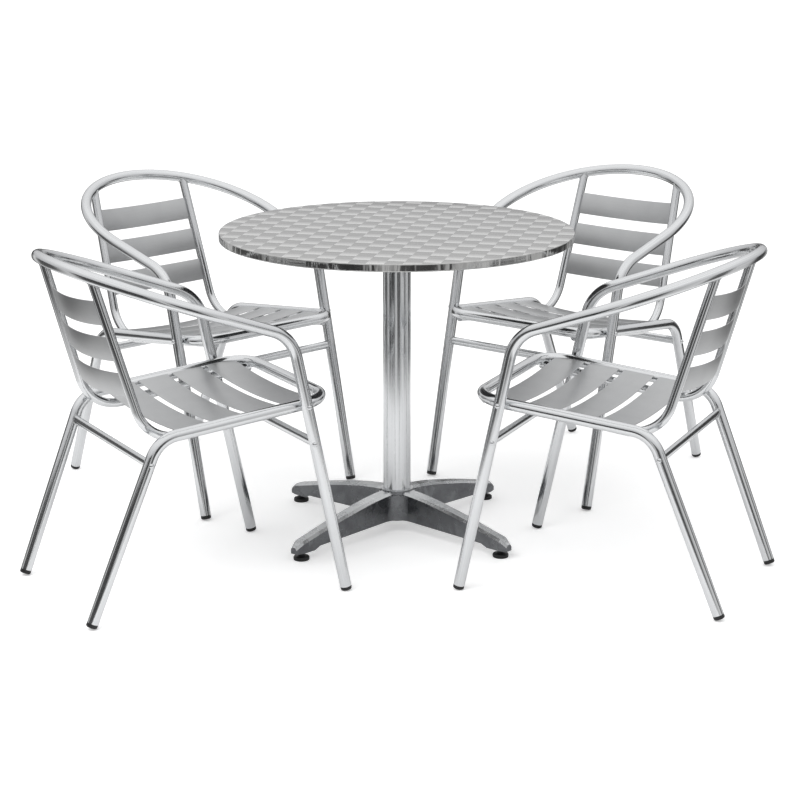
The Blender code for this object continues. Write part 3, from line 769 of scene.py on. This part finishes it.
top, bend, _ = upright_corners
lean = math.atan2(bend.y - top.y, top.z - bend.z)
back_middles = [
    on_line(bend, top, BACK_BOTTOM_Z + number * BACK_SLAT_PITCH) for number in range(BACK_SLATS)
]
bottom_half = back_middles[0].x - UPRIGHT_RADIUS + INTO_TUBE
top_half = back_middles[-1].x - UPRIGHT_RADIUS + INTO_TUBE
last_stretch = 1.0 + (top_half / bottom_half - 1.0) * BACK_SLATS / (BACK_SLATS - 1)
back_slats = slat_row(
    "back_slats", bottom_half, last_stretch, Count=BACK_SLATS,
    Pitch=BACK_SLAT_PITCH / math.cos(lean), Width=BACK_SLAT_WIDTH, Sag=-BACK_BOW,
)
stand_up = Matrix.Rotation(lean, 4, "X") @ Matrix.Rotation(math.radians(90.0), 4, "X")
back_slats.transform(Matrix.Translation((0.0, back_middles[0].y, BACK_BOTTOM_Z)) @ stand_up)
chair_meshes["seat_slats_strip"] = seat_slats
chair_meshes["back_slats_strip"] = back_slats
print("seat slats", len(seat_slats.polygons), "faces, back slats", len(back_slats.polygons))

# %% [markdown]
# ## Turned pieces
# Plugs, feet and the table top are round about an axis. A profile of radius and height, turned
# in even steps, makes them with closed poles, and one recalculation points every face out.

# %% Turned pieces
def turned(name, profile, sides, finish, crease=35.0):
    """A closed mesh of a (radius, height) profile turned about Z; a radius of 0 is a pole."""
    shape = bmesh.new()
    rings = []
    for radius, height in profile:
        count = 1 if radius == 0.0 else sides
        rings.append([
            shape.verts.new((
                radius * math.cos(math.tau * side / sides),
                radius * math.sin(math.tau * side / sides),
                height,
            ))
            for side in range(count)
        ])
    for upper, lower in zip(rings, rings[1:]):
        for side in range(sides):
            beside = (side + 1) % sides
            corners = [upper[side % len(upper)], upper[beside % len(upper)],
                       lower[beside % len(lower)], lower[side % len(lower)]]
            shape.faces.new(list(dict.fromkeys(corners)))
    bmesh.ops.recalc_face_normals(shape, faces=shape.faces)
    mesh = bpy.data.meshes.new(name)
    shape.to_mesh(mesh)
    shape.free()
    mesh.shade_smooth()
    mesh.set_sharp_from_angle(angle=math.radians(crease))
    mesh.materials.append(finish)
    return mesh


def arc(centre_radius, centre_height, radius, first, last, steps):
    """Profile points on an arc; angles are from outwards, towards up."""
    turns = [math.radians(first + (last - first) * step / steps) for step in range(steps + 1)]
    return [
        (centre_radius + radius * math.cos(turn), centre_height + radius * math.sin(turn))
        for turn in turns
    ]


PLUG_EDGE = 3.0 * MM
PLUG_RADIUS = FRAME_RADIUS - 0.5 * MM
PLUG_CORE = PLUG_RADIUS - 1.5 * MM     # the part that is pushed into the tube
PLUG_CORE_TOP = PLUG_HEIGHT + 2 * MM
PLUG_LIP = PLUG_HEIGHT - 0.4 * MM
plug_profile = [
    (0.0, PLUG_CORE_TOP),
    (PLUG_CORE, PLUG_CORE_TOP),
    (PLUG_CORE, PLUG_LIP),
    (PLUG_RADIUS, PLUG_LIP),
    *arc(PLUG_RADIUS - PLUG_EDGE, PLUG_EDGE, PLUG_EDGE, 0.0, -90.0, 5),
    (0.0, 0.0),
]


def joined(name, meshes):
    """One mesh from several, with its normals kept."""
    shape = bmesh.new()
    for mesh in meshes:
        shape.from_mesh(mesh)
    whole = bpy.data.meshes.new(name)
    shape.to_mesh(whole)
    shape.free()
    for finish in meshes[0].materials:
        whole.materials.append(finish)
    return whole


def leg_plugs(name, path):
    """A plug in each end of a tube's path, square to its leg."""
    plugs = []
    for end, beyond in ((path[0], path[1]), (path[-1], path[-2])):
        plug = turned(name, plug_profile, 28, moulded_black)
        turn = (beyond - end).to_track_quat("Z", "Y").to_matrix().to_4x4()
        plug.transform(Matrix.Translation(end) @ turn)
        plugs.append(plug)
    return joined(name, plugs)


chair_meshes["front_leg_plugs"] = leg_plugs("front_leg_plugs", hoop_path)
chair_meshes["rear_leg_plugs"] = leg_plugs("rear_leg_plugs", seat_path)
print("plugs stand", PLUG_HEIGHT, "m high")

# %% [markdown]
# ## Rivets
# Where a leg crosses a rail, and where a stretcher ends, a domed rivet shows on the outer side
# of the leg. One tree puts a shallow dome on every point and turns it to face outwards, and the
# same tree places the screws under the table.

# %% The rivet tree
rivet_tree, given = new_tree("domed_rivets", {
    "Radius": "Float", "Rise": "Float", "Finish": "Material",
})
ball = add(rivet_tree, "GeometryNodeMeshUVSphere", {"Segments": 16, "Rings": 8, "Radius": 1.0})
head_size = add(rivet_tree, "ShaderNodeCombineXYZ", {
    "X": given["Radius"], "Y": given["Radius"], "Z": given["Rise"],
})
head = add(rivet_tree, "GeometryNodeTransform", {
    "Geometry": ball.outputs["Mesh"], "Scale": head_size.outputs["Vector"],
})
outward = add(rivet_tree, "GeometryNodeInputNamedAttribute", {
    "Name": "outward",
}, data_type="FLOAT_VECTOR")
facing = add(rivet_tree, "FunctionNodeAlignRotationToVector", {
    "Vector": outward.outputs["Attribute"],
}, axis="Z")
heads = add(rivet_tree, "GeometryNodeInstanceOnPoints", {
    "Points": given["Geometry"], "Instance": head.outputs["Geometry"],
    "Rotation": facing.outputs["Rotation"],
})
smooth = add(rivet_tree, "GeometryNodeSetShadeSmooth", {"Geometry": heads.outputs["Instances"]})
end_tree(rivet_tree, smooth.outputs["Geometry"], given["Finish"])
print(rivet_tree.name, "has", len(rivet_tree.nodes), "nodes")

# %% Chair rivets
RIVET_RADIUS = 5.6 * MM
RIVET_RISE = 4.2 * MM
RIVET_SUNK = 0.8 * MM
FRONT_RIVET_TURN = -30.0   # degrees: the front stretcher's rivets face a little to the rear
RAIL_RIVET_Y = FRONT_FOOT[1] * 0.75

leg_at_rail = on_line((*FRONT_FOOT, 0.0), ARM_BEND, rail_height(RAIL_RIVET_Y))
spots = []
ways = []
for middle, degrees in ((front_tie, FRONT_RIVET_TURN), (rear_tie, 0.0), (leg_at_rail, 0.0)):
    turn = math.radians(degrees)
    for side in (1.0, -1.0):
        way = Vector((side * math.cos(turn), math.sin(turn), 0.0))
        spot = Vector((side * middle.x, middle.y, middle.z)) + way * (FRAME_RADIUS - RIVET_SUNK)
        spots.append(spot)
        ways.append(way)
chair_meshes["leg_rivets"] = run_tree(
    rivet_tree, "leg_rivets", spots, attributes={"outward": ways}, Radius=RIVET_RADIUS,
    Rise=RIVET_RISE, Finish=polished_tube,
)
print(len(spots), "rivets on each chair")

# %% [markdown]
# ## Weld beads
# Every tube joint is welded all round. The bead lies where one tube's surface meets the
# other's, so its path is found, not drawn: points on the smaller tube's skin are slid along its
# axis until they are one tube radius from the other tube's path. The tube tree then sweeps a
# thin bead along that closed saddle.

# %% Bead paths
BEAD_RADIUS = 1.5 * MM
BEAD_POINTS = 28
HALVINGS = 22
WELD_SEARCH = 0.05         # how far from a tube's middle a bead is looked for
PATH_STEP = 0.02
NEARBY = 0.12


def distance_to_path(point, path):
    """Shortest distance from a point to a run of straight pieces."""
    best = 1.0
    for start, end in zip(path, path[1:]):
        run = end - start
        share = max(0.0, min(1.0, (point - start).dot(run) / run.length_squared))
        best = min(best, (point - start - run * share).length)
    return best


def saddle(start, into, radius, path, path_radius, squash=1.0):
    """Where a straight bar's skin meets a tube: start is outside it, start + into inside."""
    turn = into.to_track_quat("Z", "Y")
    near = [point for point in path if (point - start - into).length < NEARBY]
    ring = []
    for number in range(BEAD_POINTS):
        angle = math.tau * number / BEAD_POINTS
        offset = turn @ Vector((radius * math.cos(angle), radius * math.sin(angle), 0.0))
        offset.y *= squash
        low, high = 0.0, 1.0
        for _ in range(HALVINGS):
            share = (low + high) / 2.0
            if distance_to_path(start + offset + into * share, near) > path_radius:
                low = share
            else:
                high = share
        ring.append(start + offset + into * high)
    return ring


def finer(path):
    """A path with points no further apart than a step."""
    points = [path[0]]
    for start, end in zip(path, path[1:]):
        count = max(1, math.ceil((end - start).length / PATH_STEP))
        points += [start.lerp(end, number / count) for number in range(1, count + 1)]
    return points


fine_hoop = finer(hoop_path)
fine_seat = finer(seat_path)
flat = STRETCHER_HALF_DEPTH / STRETCHER_HALF_HEIGHT
beads = []
for side in (1.0, -1.0):
    across = Vector((side, 1.0, 1.0))
    top = upright_corners[0] * across
    down = (upright_corners[1] * across - top).normalized() * WELD_SEARCH
    beads.append(saddle(top + down, -down, UPRIGHT_RADIUS, fine_hoop, FRAME_RADIUS))
    into = Vector((side * WELD_SEARCH, 0.0, 0.0))
    for middle, path in ((front_tie, fine_hoop), (rear_tie, fine_seat)):
        end = middle * across
        beads.append(saddle(end - into, into, STRETCHER_HALF_HEIGHT, path, FRAME_RADIUS, flat))
chair_meshes["weld_beads"] = joined("weld_beads", [
    tube("weld_bead", ring, BEAD_RADIUS, satin_slat, sides=8, closed=True) for ring in beads
])
chair_meshes["weld_beads"].shade_smooth()
print(len(beads), "beads on each chair")

# %% [markdown]
# ## Set out the four chairs
# One set of meshes serves every chair: each piece is copied, moved by its chair's matrix, and
# given to that chair's body. It stands in for the CAD node of the same part.

# %% Place the chairs
STANDS_FOR = {part: [part.removesuffix("_tube")] for part in chair_meshes if "_tube" in part}
STANDS_FOR["seat_slats_strip"] = [f"seat_slat_{number}" for number in (1, 2, 3, 4)]
STANDS_FOR["back_slats_strip"] = [f"back_slat_{place}" for place in ("bottom", "middle", "top")]


def show(name, mesh, body, nodes=()):
    """Add a finished mesh to the scene and give it its body and its CAD nodes."""
    mesh.name = name
    piece = put_in_scene(name, mesh)
    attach(piece, body)
    if nodes:
        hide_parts(*nodes)
    return piece


for chair in CHAIRS:
    for part, mesh in chair_meshes.items():
        placed = mesh.copy()
        placed.transform(places[chair])
        nodes = [f"{chair}_{node}" for node in STANDS_FOR.get(part, ())]
        show(f"{chair}_{part}", placed, chair, nodes)
print(len(CHAIRS) * len(chair_meshes), "chair pieces shown")

# %% [markdown]
# ## The table top
# The steel skin is rolled down over a board's edge and turned in beneath it. Rolling a flat
# sheet round a curve leaves small upright creases in the rim, at uneven spacing, and they break
# its reflections. The rim is turned finely enough for real creases to be pressed into it.

# %% Steel skin
EDGE_ROUND = 3.0 * MM
TURNED_IN = 9 * MM
SKIN = 0.9 * MM
RIM_SIDES = 1400
CREASES = 64
CREASE_DEPTH = 0.75 * MM
CREASE_WIDTH = 3 * MM
CREASE_SEED = 7
RIM_TILT = 0.8             # faces that point up less than this are the rim's

top_radius = (top_high.x - top_low.x) / 2.0
edge_centre = top_radius - EDGE_ROUND
rim_from = edge_centre + 0.6 * EDGE_ROUND
skin_profile = [
    (0.0, top_high.z),
    (edge_centre * 0.5, top_high.z),
    *arc(edge_centre, top_high.z - EDGE_ROUND, EDGE_ROUND, 90.0, 0.0, 5),
    *arc(edge_centre, top_low.z + EDGE_ROUND, EDGE_ROUND, 0.0, -90.0, 5),
    (top_radius - TURNED_IN, top_low.z),
    (top_radius - TURNED_IN, top_low.z + SKIN),
    (0.0, top_low.z + SKIN),
]
skin = turned("table_top_skin", skin_profile, RIM_SIDES, patterned_top, crease=60.0)
skin.materials.append(rolled_rim)

draw = random.Random(CREASE_SEED)
creases = [(draw.uniform(0.0, math.tau), draw.uniform(0.3, 1.0)) for _ in range(CREASES)]
for vertex in skin.vertices:
    out = math.hypot(vertex.co.x, vertex.co.y)
    if out < edge_centre + 1.0 * MM:
        continue
    angle = math.atan2(vertex.co.y, vertex.co.x)
    press = 0.0
    for place, depth in creases:
        away = abs((angle - place + math.pi) % math.tau - math.pi) * top_radius
        press += depth * math.exp(-((away / CREASE_WIDTH) ** 2))
    share = min(1.0, (out - edge_centre) / EDGE_ROUND)
    scale = 1.0 - min(press, 1.0) * CREASE_DEPTH * share / out
    vertex.co.x *= scale
    vertex.co.y *= scale
for face in skin.polygons:
    out = math.hypot(face.center.x, face.center.y)
    if face.normal.z < RIM_TILT or out > rim_from:
        face.material_index = 1
skin.transform(Matrix.Translation(table_axis))
show("table_top_skin", skin, "table", ["table_top"])
print("skin has", len(skin.polygons), "faces")

# %% Board under the skin
BOARD_RADIUS = top_radius - TURNED_IN - 0.2 * MM
board_top = top_low.z + SKIN - 0.1 * MM
board_bottom = top_low.z + 0.1 * MM
board = turned("table_top_board", [
    (0.0, board_top), (BOARD_RADIUS, board_top), (BOARD_RADIUS, board_bottom), (0.0, board_bottom),
], 96, paper_backing)
board.transform(Matrix.Translation(table_axis))
show("table_top_board", board, "table")
print("board is", round(2.0 * BOARD_RADIUS, 3), "m across")

# %% [markdown]
# ## Castings
# The bracket under the top and the cross-shaped base are castings with no sharp edge. The
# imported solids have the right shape, so a copy of each is welded into one skin, its flat
# triangles are merged back into faces, and a Bevel rounds the edges a little, as tumbling
# does. Weighted normals keep the broad faces flat and let only the rounded strips turn.

# %% Soften the castings
def softened(node, name, width, crease):
    """A copy of a CAD node with its edges rounded, as a plain mesh."""
    shape = bmesh.new()
    shape.from_mesh(frame["nodes"][node].data)
    bmesh.ops.remove_doubles(shape, verts=shape.verts, dist=0.01 * MM)
    bmesh.ops.dissolve_limit(
        shape, angle_limit=math.radians(1.0), verts=shape.verts, edges=shape.edges
    )
    mesh = bpy.data.meshes.new(name)
    shape.to_mesh(mesh)
    shape.free()
    mesh.shade_smooth()
    mesh.materials.clear()
    mesh.materials.append(tumbled_casting)
    host = put_in_scene(name, mesh)
    edges = host.modifiers.new("soften", "BEVEL")
    edges.width = width
    edges.segments = 3
    edges.limit_method = "ANGLE"
    edges.angle_limit = math.radians(crease)
    flats = host.modifiers.new("flats", "WEIGHTED_NORMAL")
    flats.keep_sharp = True
    bpy.context.view_layer.update()
    graph = bpy.context.evaluated_depsgraph_get()
    soft = bpy.data.meshes.new_from_object(host.evaluated_get(graph))
    bpy.data.objects.remove(host, do_unlink=True)
    return soft


base = softened("base_casting", "base_casting_skin", 1.6 * MM, 25.0)
show("base_casting_skin", base, "table", ["base_casting"])
spider = softened("top_spider", "top_spider_skin", 1.0 * MM, 30.0)
show("top_spider_skin", spider, "table", ["top_spider"])
print("base has", len(base.polygons), "faces, bracket", len(spider.polygons))

# %% [markdown]
# ## Column and fittings
# The column is a wide polished tube, so the tube tree makes it too. Screws hold the bracket's
# arms to the board, and a nut and washer under the base draw the column tight.

# %% Column
column_low, column_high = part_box("column")
COLUMN_RADIUS = (column_high.x - column_low.x) / 2.0
COLUMN_SUNK = 0.3 * MM     # how far each end runs into the casting it meets
column = tube("column_tube", [
    table_axis + Vector((0.0, 0.0, column_low.z - COLUMN_SUNK)),
    table_axis + Vector((0.0, 0.0, column_high.z + COLUMN_SUNK)),
], COLUMN_RADIUS, polished_tube, sides=72)
show("column_tube", column, "table", ["column"])
print("column", round(2.0 * COLUMN_RADIUS, 4), "m across")

# %% Screws, washer and nut
BRACKET_SCREWS_OUT = (0.105, 0.222)
BRACKET_PLATE = 8 * MM
BRACKET_TURN = math.radians(47.5)
SCREW_RADIUS = 5 * MM
SCREW_RISE = 3 * MM
HUB_BOTTOM = 28 * MM
WASHER_RADIUS = 14 * MM
WASHER_BOTTOM = HUB_BOTTOM - 2 * MM
NUT_RADIUS = 9 * MM
NUT_BOTTOM = HUB_BOTTOM - 10 * MM
NUT_CHAMFER = (1.5 * MM, 1 * MM)

screw_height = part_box("top_spider")[1].z - BRACKET_PLATE
spots = []
for arm in range(4):
    way = BRACKET_TURN + arm * math.pi / 2.0
    for out in BRACKET_SCREWS_OUT:
        offset = Vector((out * math.cos(way), out * math.sin(way), screw_height))
        spots.append(table_axis + offset)
screws = run_tree(
    rivet_tree, "bracket_screws", spots, attributes={"outward": [(0.0, 0.0, -1.0)] * len(spots)},
    Radius=SCREW_RADIUS, Rise=SCREW_RISE, Finish=plated_steel,
)
show("bracket_screws", screws, "table")

nut = joined("base_nut_and_washer", [
    turned("washer", [
        (0.0, HUB_BOTTOM), (WASHER_RADIUS, HUB_BOTTOM), (WASHER_RADIUS, WASHER_BOTTOM),
        (0.0, WASHER_BOTTOM),
    ], 32, plated_steel),
    turned("nut", [
        (0.0, WASHER_BOTTOM), (NUT_RADIUS, WASHER_BOTTOM),
        (NUT_RADIUS, NUT_BOTTOM + NUT_CHAMFER[1]), (NUT_RADIUS - NUT_CHAMFER[0], NUT_BOTTOM),
        (0.0, NUT_BOTTOM),
    ], 6, plated_steel),
])
nut.transform(Matrix.Translation(table_axis))
show("base_nut_and_washer", nut, "table")
print(len(spots), "screws, and a nut under the hub")

# %% [markdown]
# ## Levelling feet
# Each arm ends on a moulded pad with a rounded rim and a waisted neck, on a screw that turns
# up into the casting. The pads are separate bodies, because each one screws out to meet an
# uneven floor.

# %% Levelling feet
STEM_RADIUS = 4.0 * MM
NECK_RADIUS = 7.0 * MM
NECK_TOP = 17.5 * MM
NECK_BOTTOM = 12.0 * MM
PAD_TOP = 9.0 * MM
PAD_UPPER_EDGE = 3.2 * MM
PAD_LOWER_EDGE = 2.0 * MM
FOOT_NAMES = [f"levelling_foot_{number}" for number in (1, 2, 3, 4)]

for foot in FOOT_NAMES:
    low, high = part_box(foot)
    radius = (high.x - low.x) / 2.0
    profile = [
        (0.0, high.z),
        (STEM_RADIUS, high.z),
        (STEM_RADIUS, NECK_TOP + 0.5 * MM),
        (NECK_RADIUS, NECK_TOP),
        (NECK_RADIUS, NECK_BOTTOM),
        (NECK_RADIUS + 1.5 * MM, PAD_TOP + 1.0 * MM),
        *arc(radius - PAD_UPPER_EDGE, PAD_TOP - PAD_UPPER_EDGE, PAD_UPPER_EDGE, 90.0, 0.0, 5),
        *arc(radius - PAD_LOWER_EDGE, PAD_LOWER_EDGE, PAD_LOWER_EDGE, 0.0, -90.0, 4),
        (0.0, 0.0),
    ]
    pad = turned(foot + "_pad", profile, 48, moulded_black)
    pad.transform(Matrix.Translation(((low.x + high.x) / 2.0, (low.y + high.y) / 2.0, 0.0)))
    show(foot + "_pad", pad, foot, [foot])
print(len(FOOT_NAMES), "feet")

# %% [markdown]
# ## Floor, light and camera
# The set stands on a plain pale floor in an even white studio: bright overhead, greyer towards
# the horizon, and plain white behind the set. Polished metal only looks like metal when it has
# something dark to reflect, so a low dark ring with bright gaps lies and stands round the set.
# It shows in reflections alone, and casts no shade.

# %% Floor and sky
FLOOR_HALF = 60.0
FLOOR_LIFT = 0.35          # the floor looks this much brighter, which thins the shadows
HORIZON = (0.52, 0.52, 0.53, 1.0)
OVERHEAD = (1.0, 1.0, 1.0, 1.0)
OVERHEAD_FROM = 0.75       # how far up a ray points where the sky is fully bright
SKY_STRENGTH = 1.02

floor_mesh = bpy.data.meshes.new("studio_floor")
corners = [(x * FLOOR_HALF, y * FLOOR_HALF, 0.0) for x, y in ((-1, -1), (1, -1), (1, 1), (-1, 1))]
floor_mesh.from_pydata(corners, [], [(0, 1, 2, 3)])
floor = put_in_scene("studio_floor", floor_mesh)
floor_paint, tree, shader = new_material("matt_white_floor", 0.0, 0.9)
shader.inputs["Base Color"].default_value = linear("#F4F4F4")
shader.inputs["Specular IOR Level"].default_value = 0.1
ray = add(tree, "ShaderNodeLightPath")
lift = add(tree, "ShaderNodeMath", {
    0: ray.outputs["Is Camera Ray"], 1: FLOOR_LIFT,
}, operation="MULTIPLY")
tree.links.new(lift.outputs["Value"], shader.inputs["Emission Strength"])
shader.inputs["Emission Color"].default_value = (1.0, 1.0, 1.0, 1.0)
floor_mesh.materials.append(floor_paint)
floor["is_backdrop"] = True

world = bpy.data.worlds.new("white_studio")
world.use_nodes = True
sky = world.node_tree
sky.nodes.clear()
direction = add(sky, "ShaderNodeTexCoord")
height = add(sky, "ShaderNodeSeparateXYZ", {0: direction.outputs["Generated"]})
fade = add(sky, "ShaderNodeValToRGB", {"Fac": height.outputs["Z"]})
for stop, position, colour in zip(
    fade.color_ramp.elements, (0.0, OVERHEAD_FROM), (HORIZON, OVERHEAD)
):
    stop.position = position
    stop.color = colour
lit = add(sky, "ShaderNodeBackground", {
    "Color": fade.outputs["Color"], "Strength": SKY_STRENGTH,
})
seen = add(sky, "ShaderNodeBackground", {"Color": linear("#FFFFFF"), "Strength": 1.0})
ray = add(sky, "ShaderNodeLightPath")
either = add(sky, "ShaderNodeMixShader", {
    0: ray.outputs["Is Camera Ray"], 1: lit.outputs["Background"], 2: seen.outputs["Background"],
})
add(sky, "ShaderNodeOutputWorld", {"Surface": either.outputs["Shader"]})
bpy.context.scene.world = world
print("floor and sky made")

# %% Dark ring
RING_START = 1.30          # the ring starts as bright as the floor, and fades to its spokes
RING_FULL = 1.75
RING_WALL = 2.8
RING_TOP = 0.80
RING_ABOVE_FLOOR = 5 * MM
RING_INNER_GLOW = (0.85, 0.85, 0.85, 1.0)
# each stop is a share of the way round and how bright the ring is there
SPOKES = ((0.00, 0.10), (0.045, 0.75), (0.07, 0.08), (0.20, 0.05), (0.235, 0.8), (0.26, 0.1),
          (0.31, 0.06), (0.34, 0.55), (0.40, 0.75), (0.42, 0.10), (0.45, 0.12), (0.47, 0.7),
          (0.52, 0.6), (0.55, 0.05), (0.60, 0.06), (0.645, 0.55), (0.675, 0.06), (0.74, 0.05),
          (0.775, 0.55), (0.80, 0.10), (0.87, 0.07), (0.90, 0.85), (0.935, 0.10))

ring_cloth = bpy.data.materials.new("dark_ring_with_bright_gaps")
ring_cloth.use_nodes = True
tree = ring_cloth.node_tree
tree.nodes.clear()
place = add(tree, "ShaderNodeTexCoord")
flat = add(tree, "ShaderNodeVectorMath", {
    0: place.outputs["Object"], 1: (1.0, 1.0, 0.0),
}, operation="MULTIPLY")
reach = add(tree, "ShaderNodeVectorMath", {0: flat.outputs["Vector"]}, operation="LENGTH")
sides = add(tree, "ShaderNodeSeparateXYZ", {0: flat.outputs["Vector"]})
turn = add(tree, "ShaderNodeMath", {
    0: sides.outputs["Y"], 1: sides.outputs["X"],
}, operation="ARCTAN2")
share = add(tree, "ShaderNodeMapRange", {
    "Value": turn.outputs["Value"], "From Min": -math.pi, "From Max": math.pi,
})
spokes = add(tree, "ShaderNodeValToRGB", {"Fac": share.outputs["Result"]})
for number, (place_on_ramp, level) in enumerate(SPOKES):
    stops = spokes.color_ramp.elements
    stop = stops[number] if number < 2 else stops.new(place_on_ramp)
    stop.position = place_on_ramp
    stop.color = (level, level, level, 1.0)
fade = add(tree, "ShaderNodeMapRange", {
    "Value": reach.outputs["Value"], "From Min": RING_START, "From Max": RING_FULL,
})
glow = add(tree, "ShaderNodeMix", {
    0: fade.outputs["Result"], 6: RING_INNER_GLOW, 7: spokes.outputs["Color"],
}, data_type="RGBA")
shine = add(tree, "ShaderNodeEmission", {"Color": glow.outputs[2]})
add(tree, "ShaderNodeOutputMaterial", {"Surface": shine.outputs["Emission"]})
ring_cloth.cycles.emission_sampling = "NONE"
ring_mesh = turned("studio_ring", [
    (RING_START, RING_ABOVE_FLOOR), (RING_WALL, RING_ABOVE_FLOOR), (RING_WALL, RING_TOP),
], 128, ring_cloth)
ring = put_in_scene("studio_ring", ring_mesh)
for ray_kind in ("camera", "diffuse", "shadow", "transmission"):
    setattr(ring, "visible_" + ray_kind, False)
ring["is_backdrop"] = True
print(len(SPOKES), "stops round the ring")

# %% Softbox and camera
SOFTBOX_SIZE = (3.0, 2.0)
SOFTBOX_PLACE = Vector((-1.4, -2.2, 3.2))
SOFTBOX_AIM = Vector((0.0, 0.0, 0.3))
CAMERA_FROM_TABLE = Vector((0.007, -4.91, 1.579))
CAMERA_TILT = math.radians(75.47)

softbox = bpy.data.lights.new("softbox", "AREA")
softbox.shape = "RECTANGLE"
softbox.size, softbox.size_y = SOFTBOX_SIZE
softbox.energy = 60.0
lamp = put_in_scene("softbox", softbox)
lamp.visible_glossy = False
lamp.location = SOFTBOX_PLACE
lamp.rotation_euler = (SOFTBOX_AIM - SOFTBOX_PLACE).to_track_quat("-Z", "Y").to_euler()

camera = bpy.data.cameras.new("camera")
camera.lens = 99.6
camera.sensor_width = 36.0
viewer = put_in_scene("camera", camera)
viewer.location = table_axis + CAMERA_FROM_TABLE
viewer.rotation_euler = (CAMERA_TILT, 0.0, 0.0)
bpy.context.scene.camera = viewer
bpy.context.scene.view_settings.view_transform = "Standard"
print("camera at", [round(value, 3) for value in viewer.location])

# %% [markdown]
# ## Size of the set
# The box of the solids and the box of the finished pieces are both printed, so that they can be
# compared.

# %% Print the boxes and finish
seen_box = [list(corner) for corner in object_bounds()]
for name, corner in (("solids", cad_box), ("pieces", seen_box)):
    print(name, [[round(value, 4) for value in point] for point in corner])
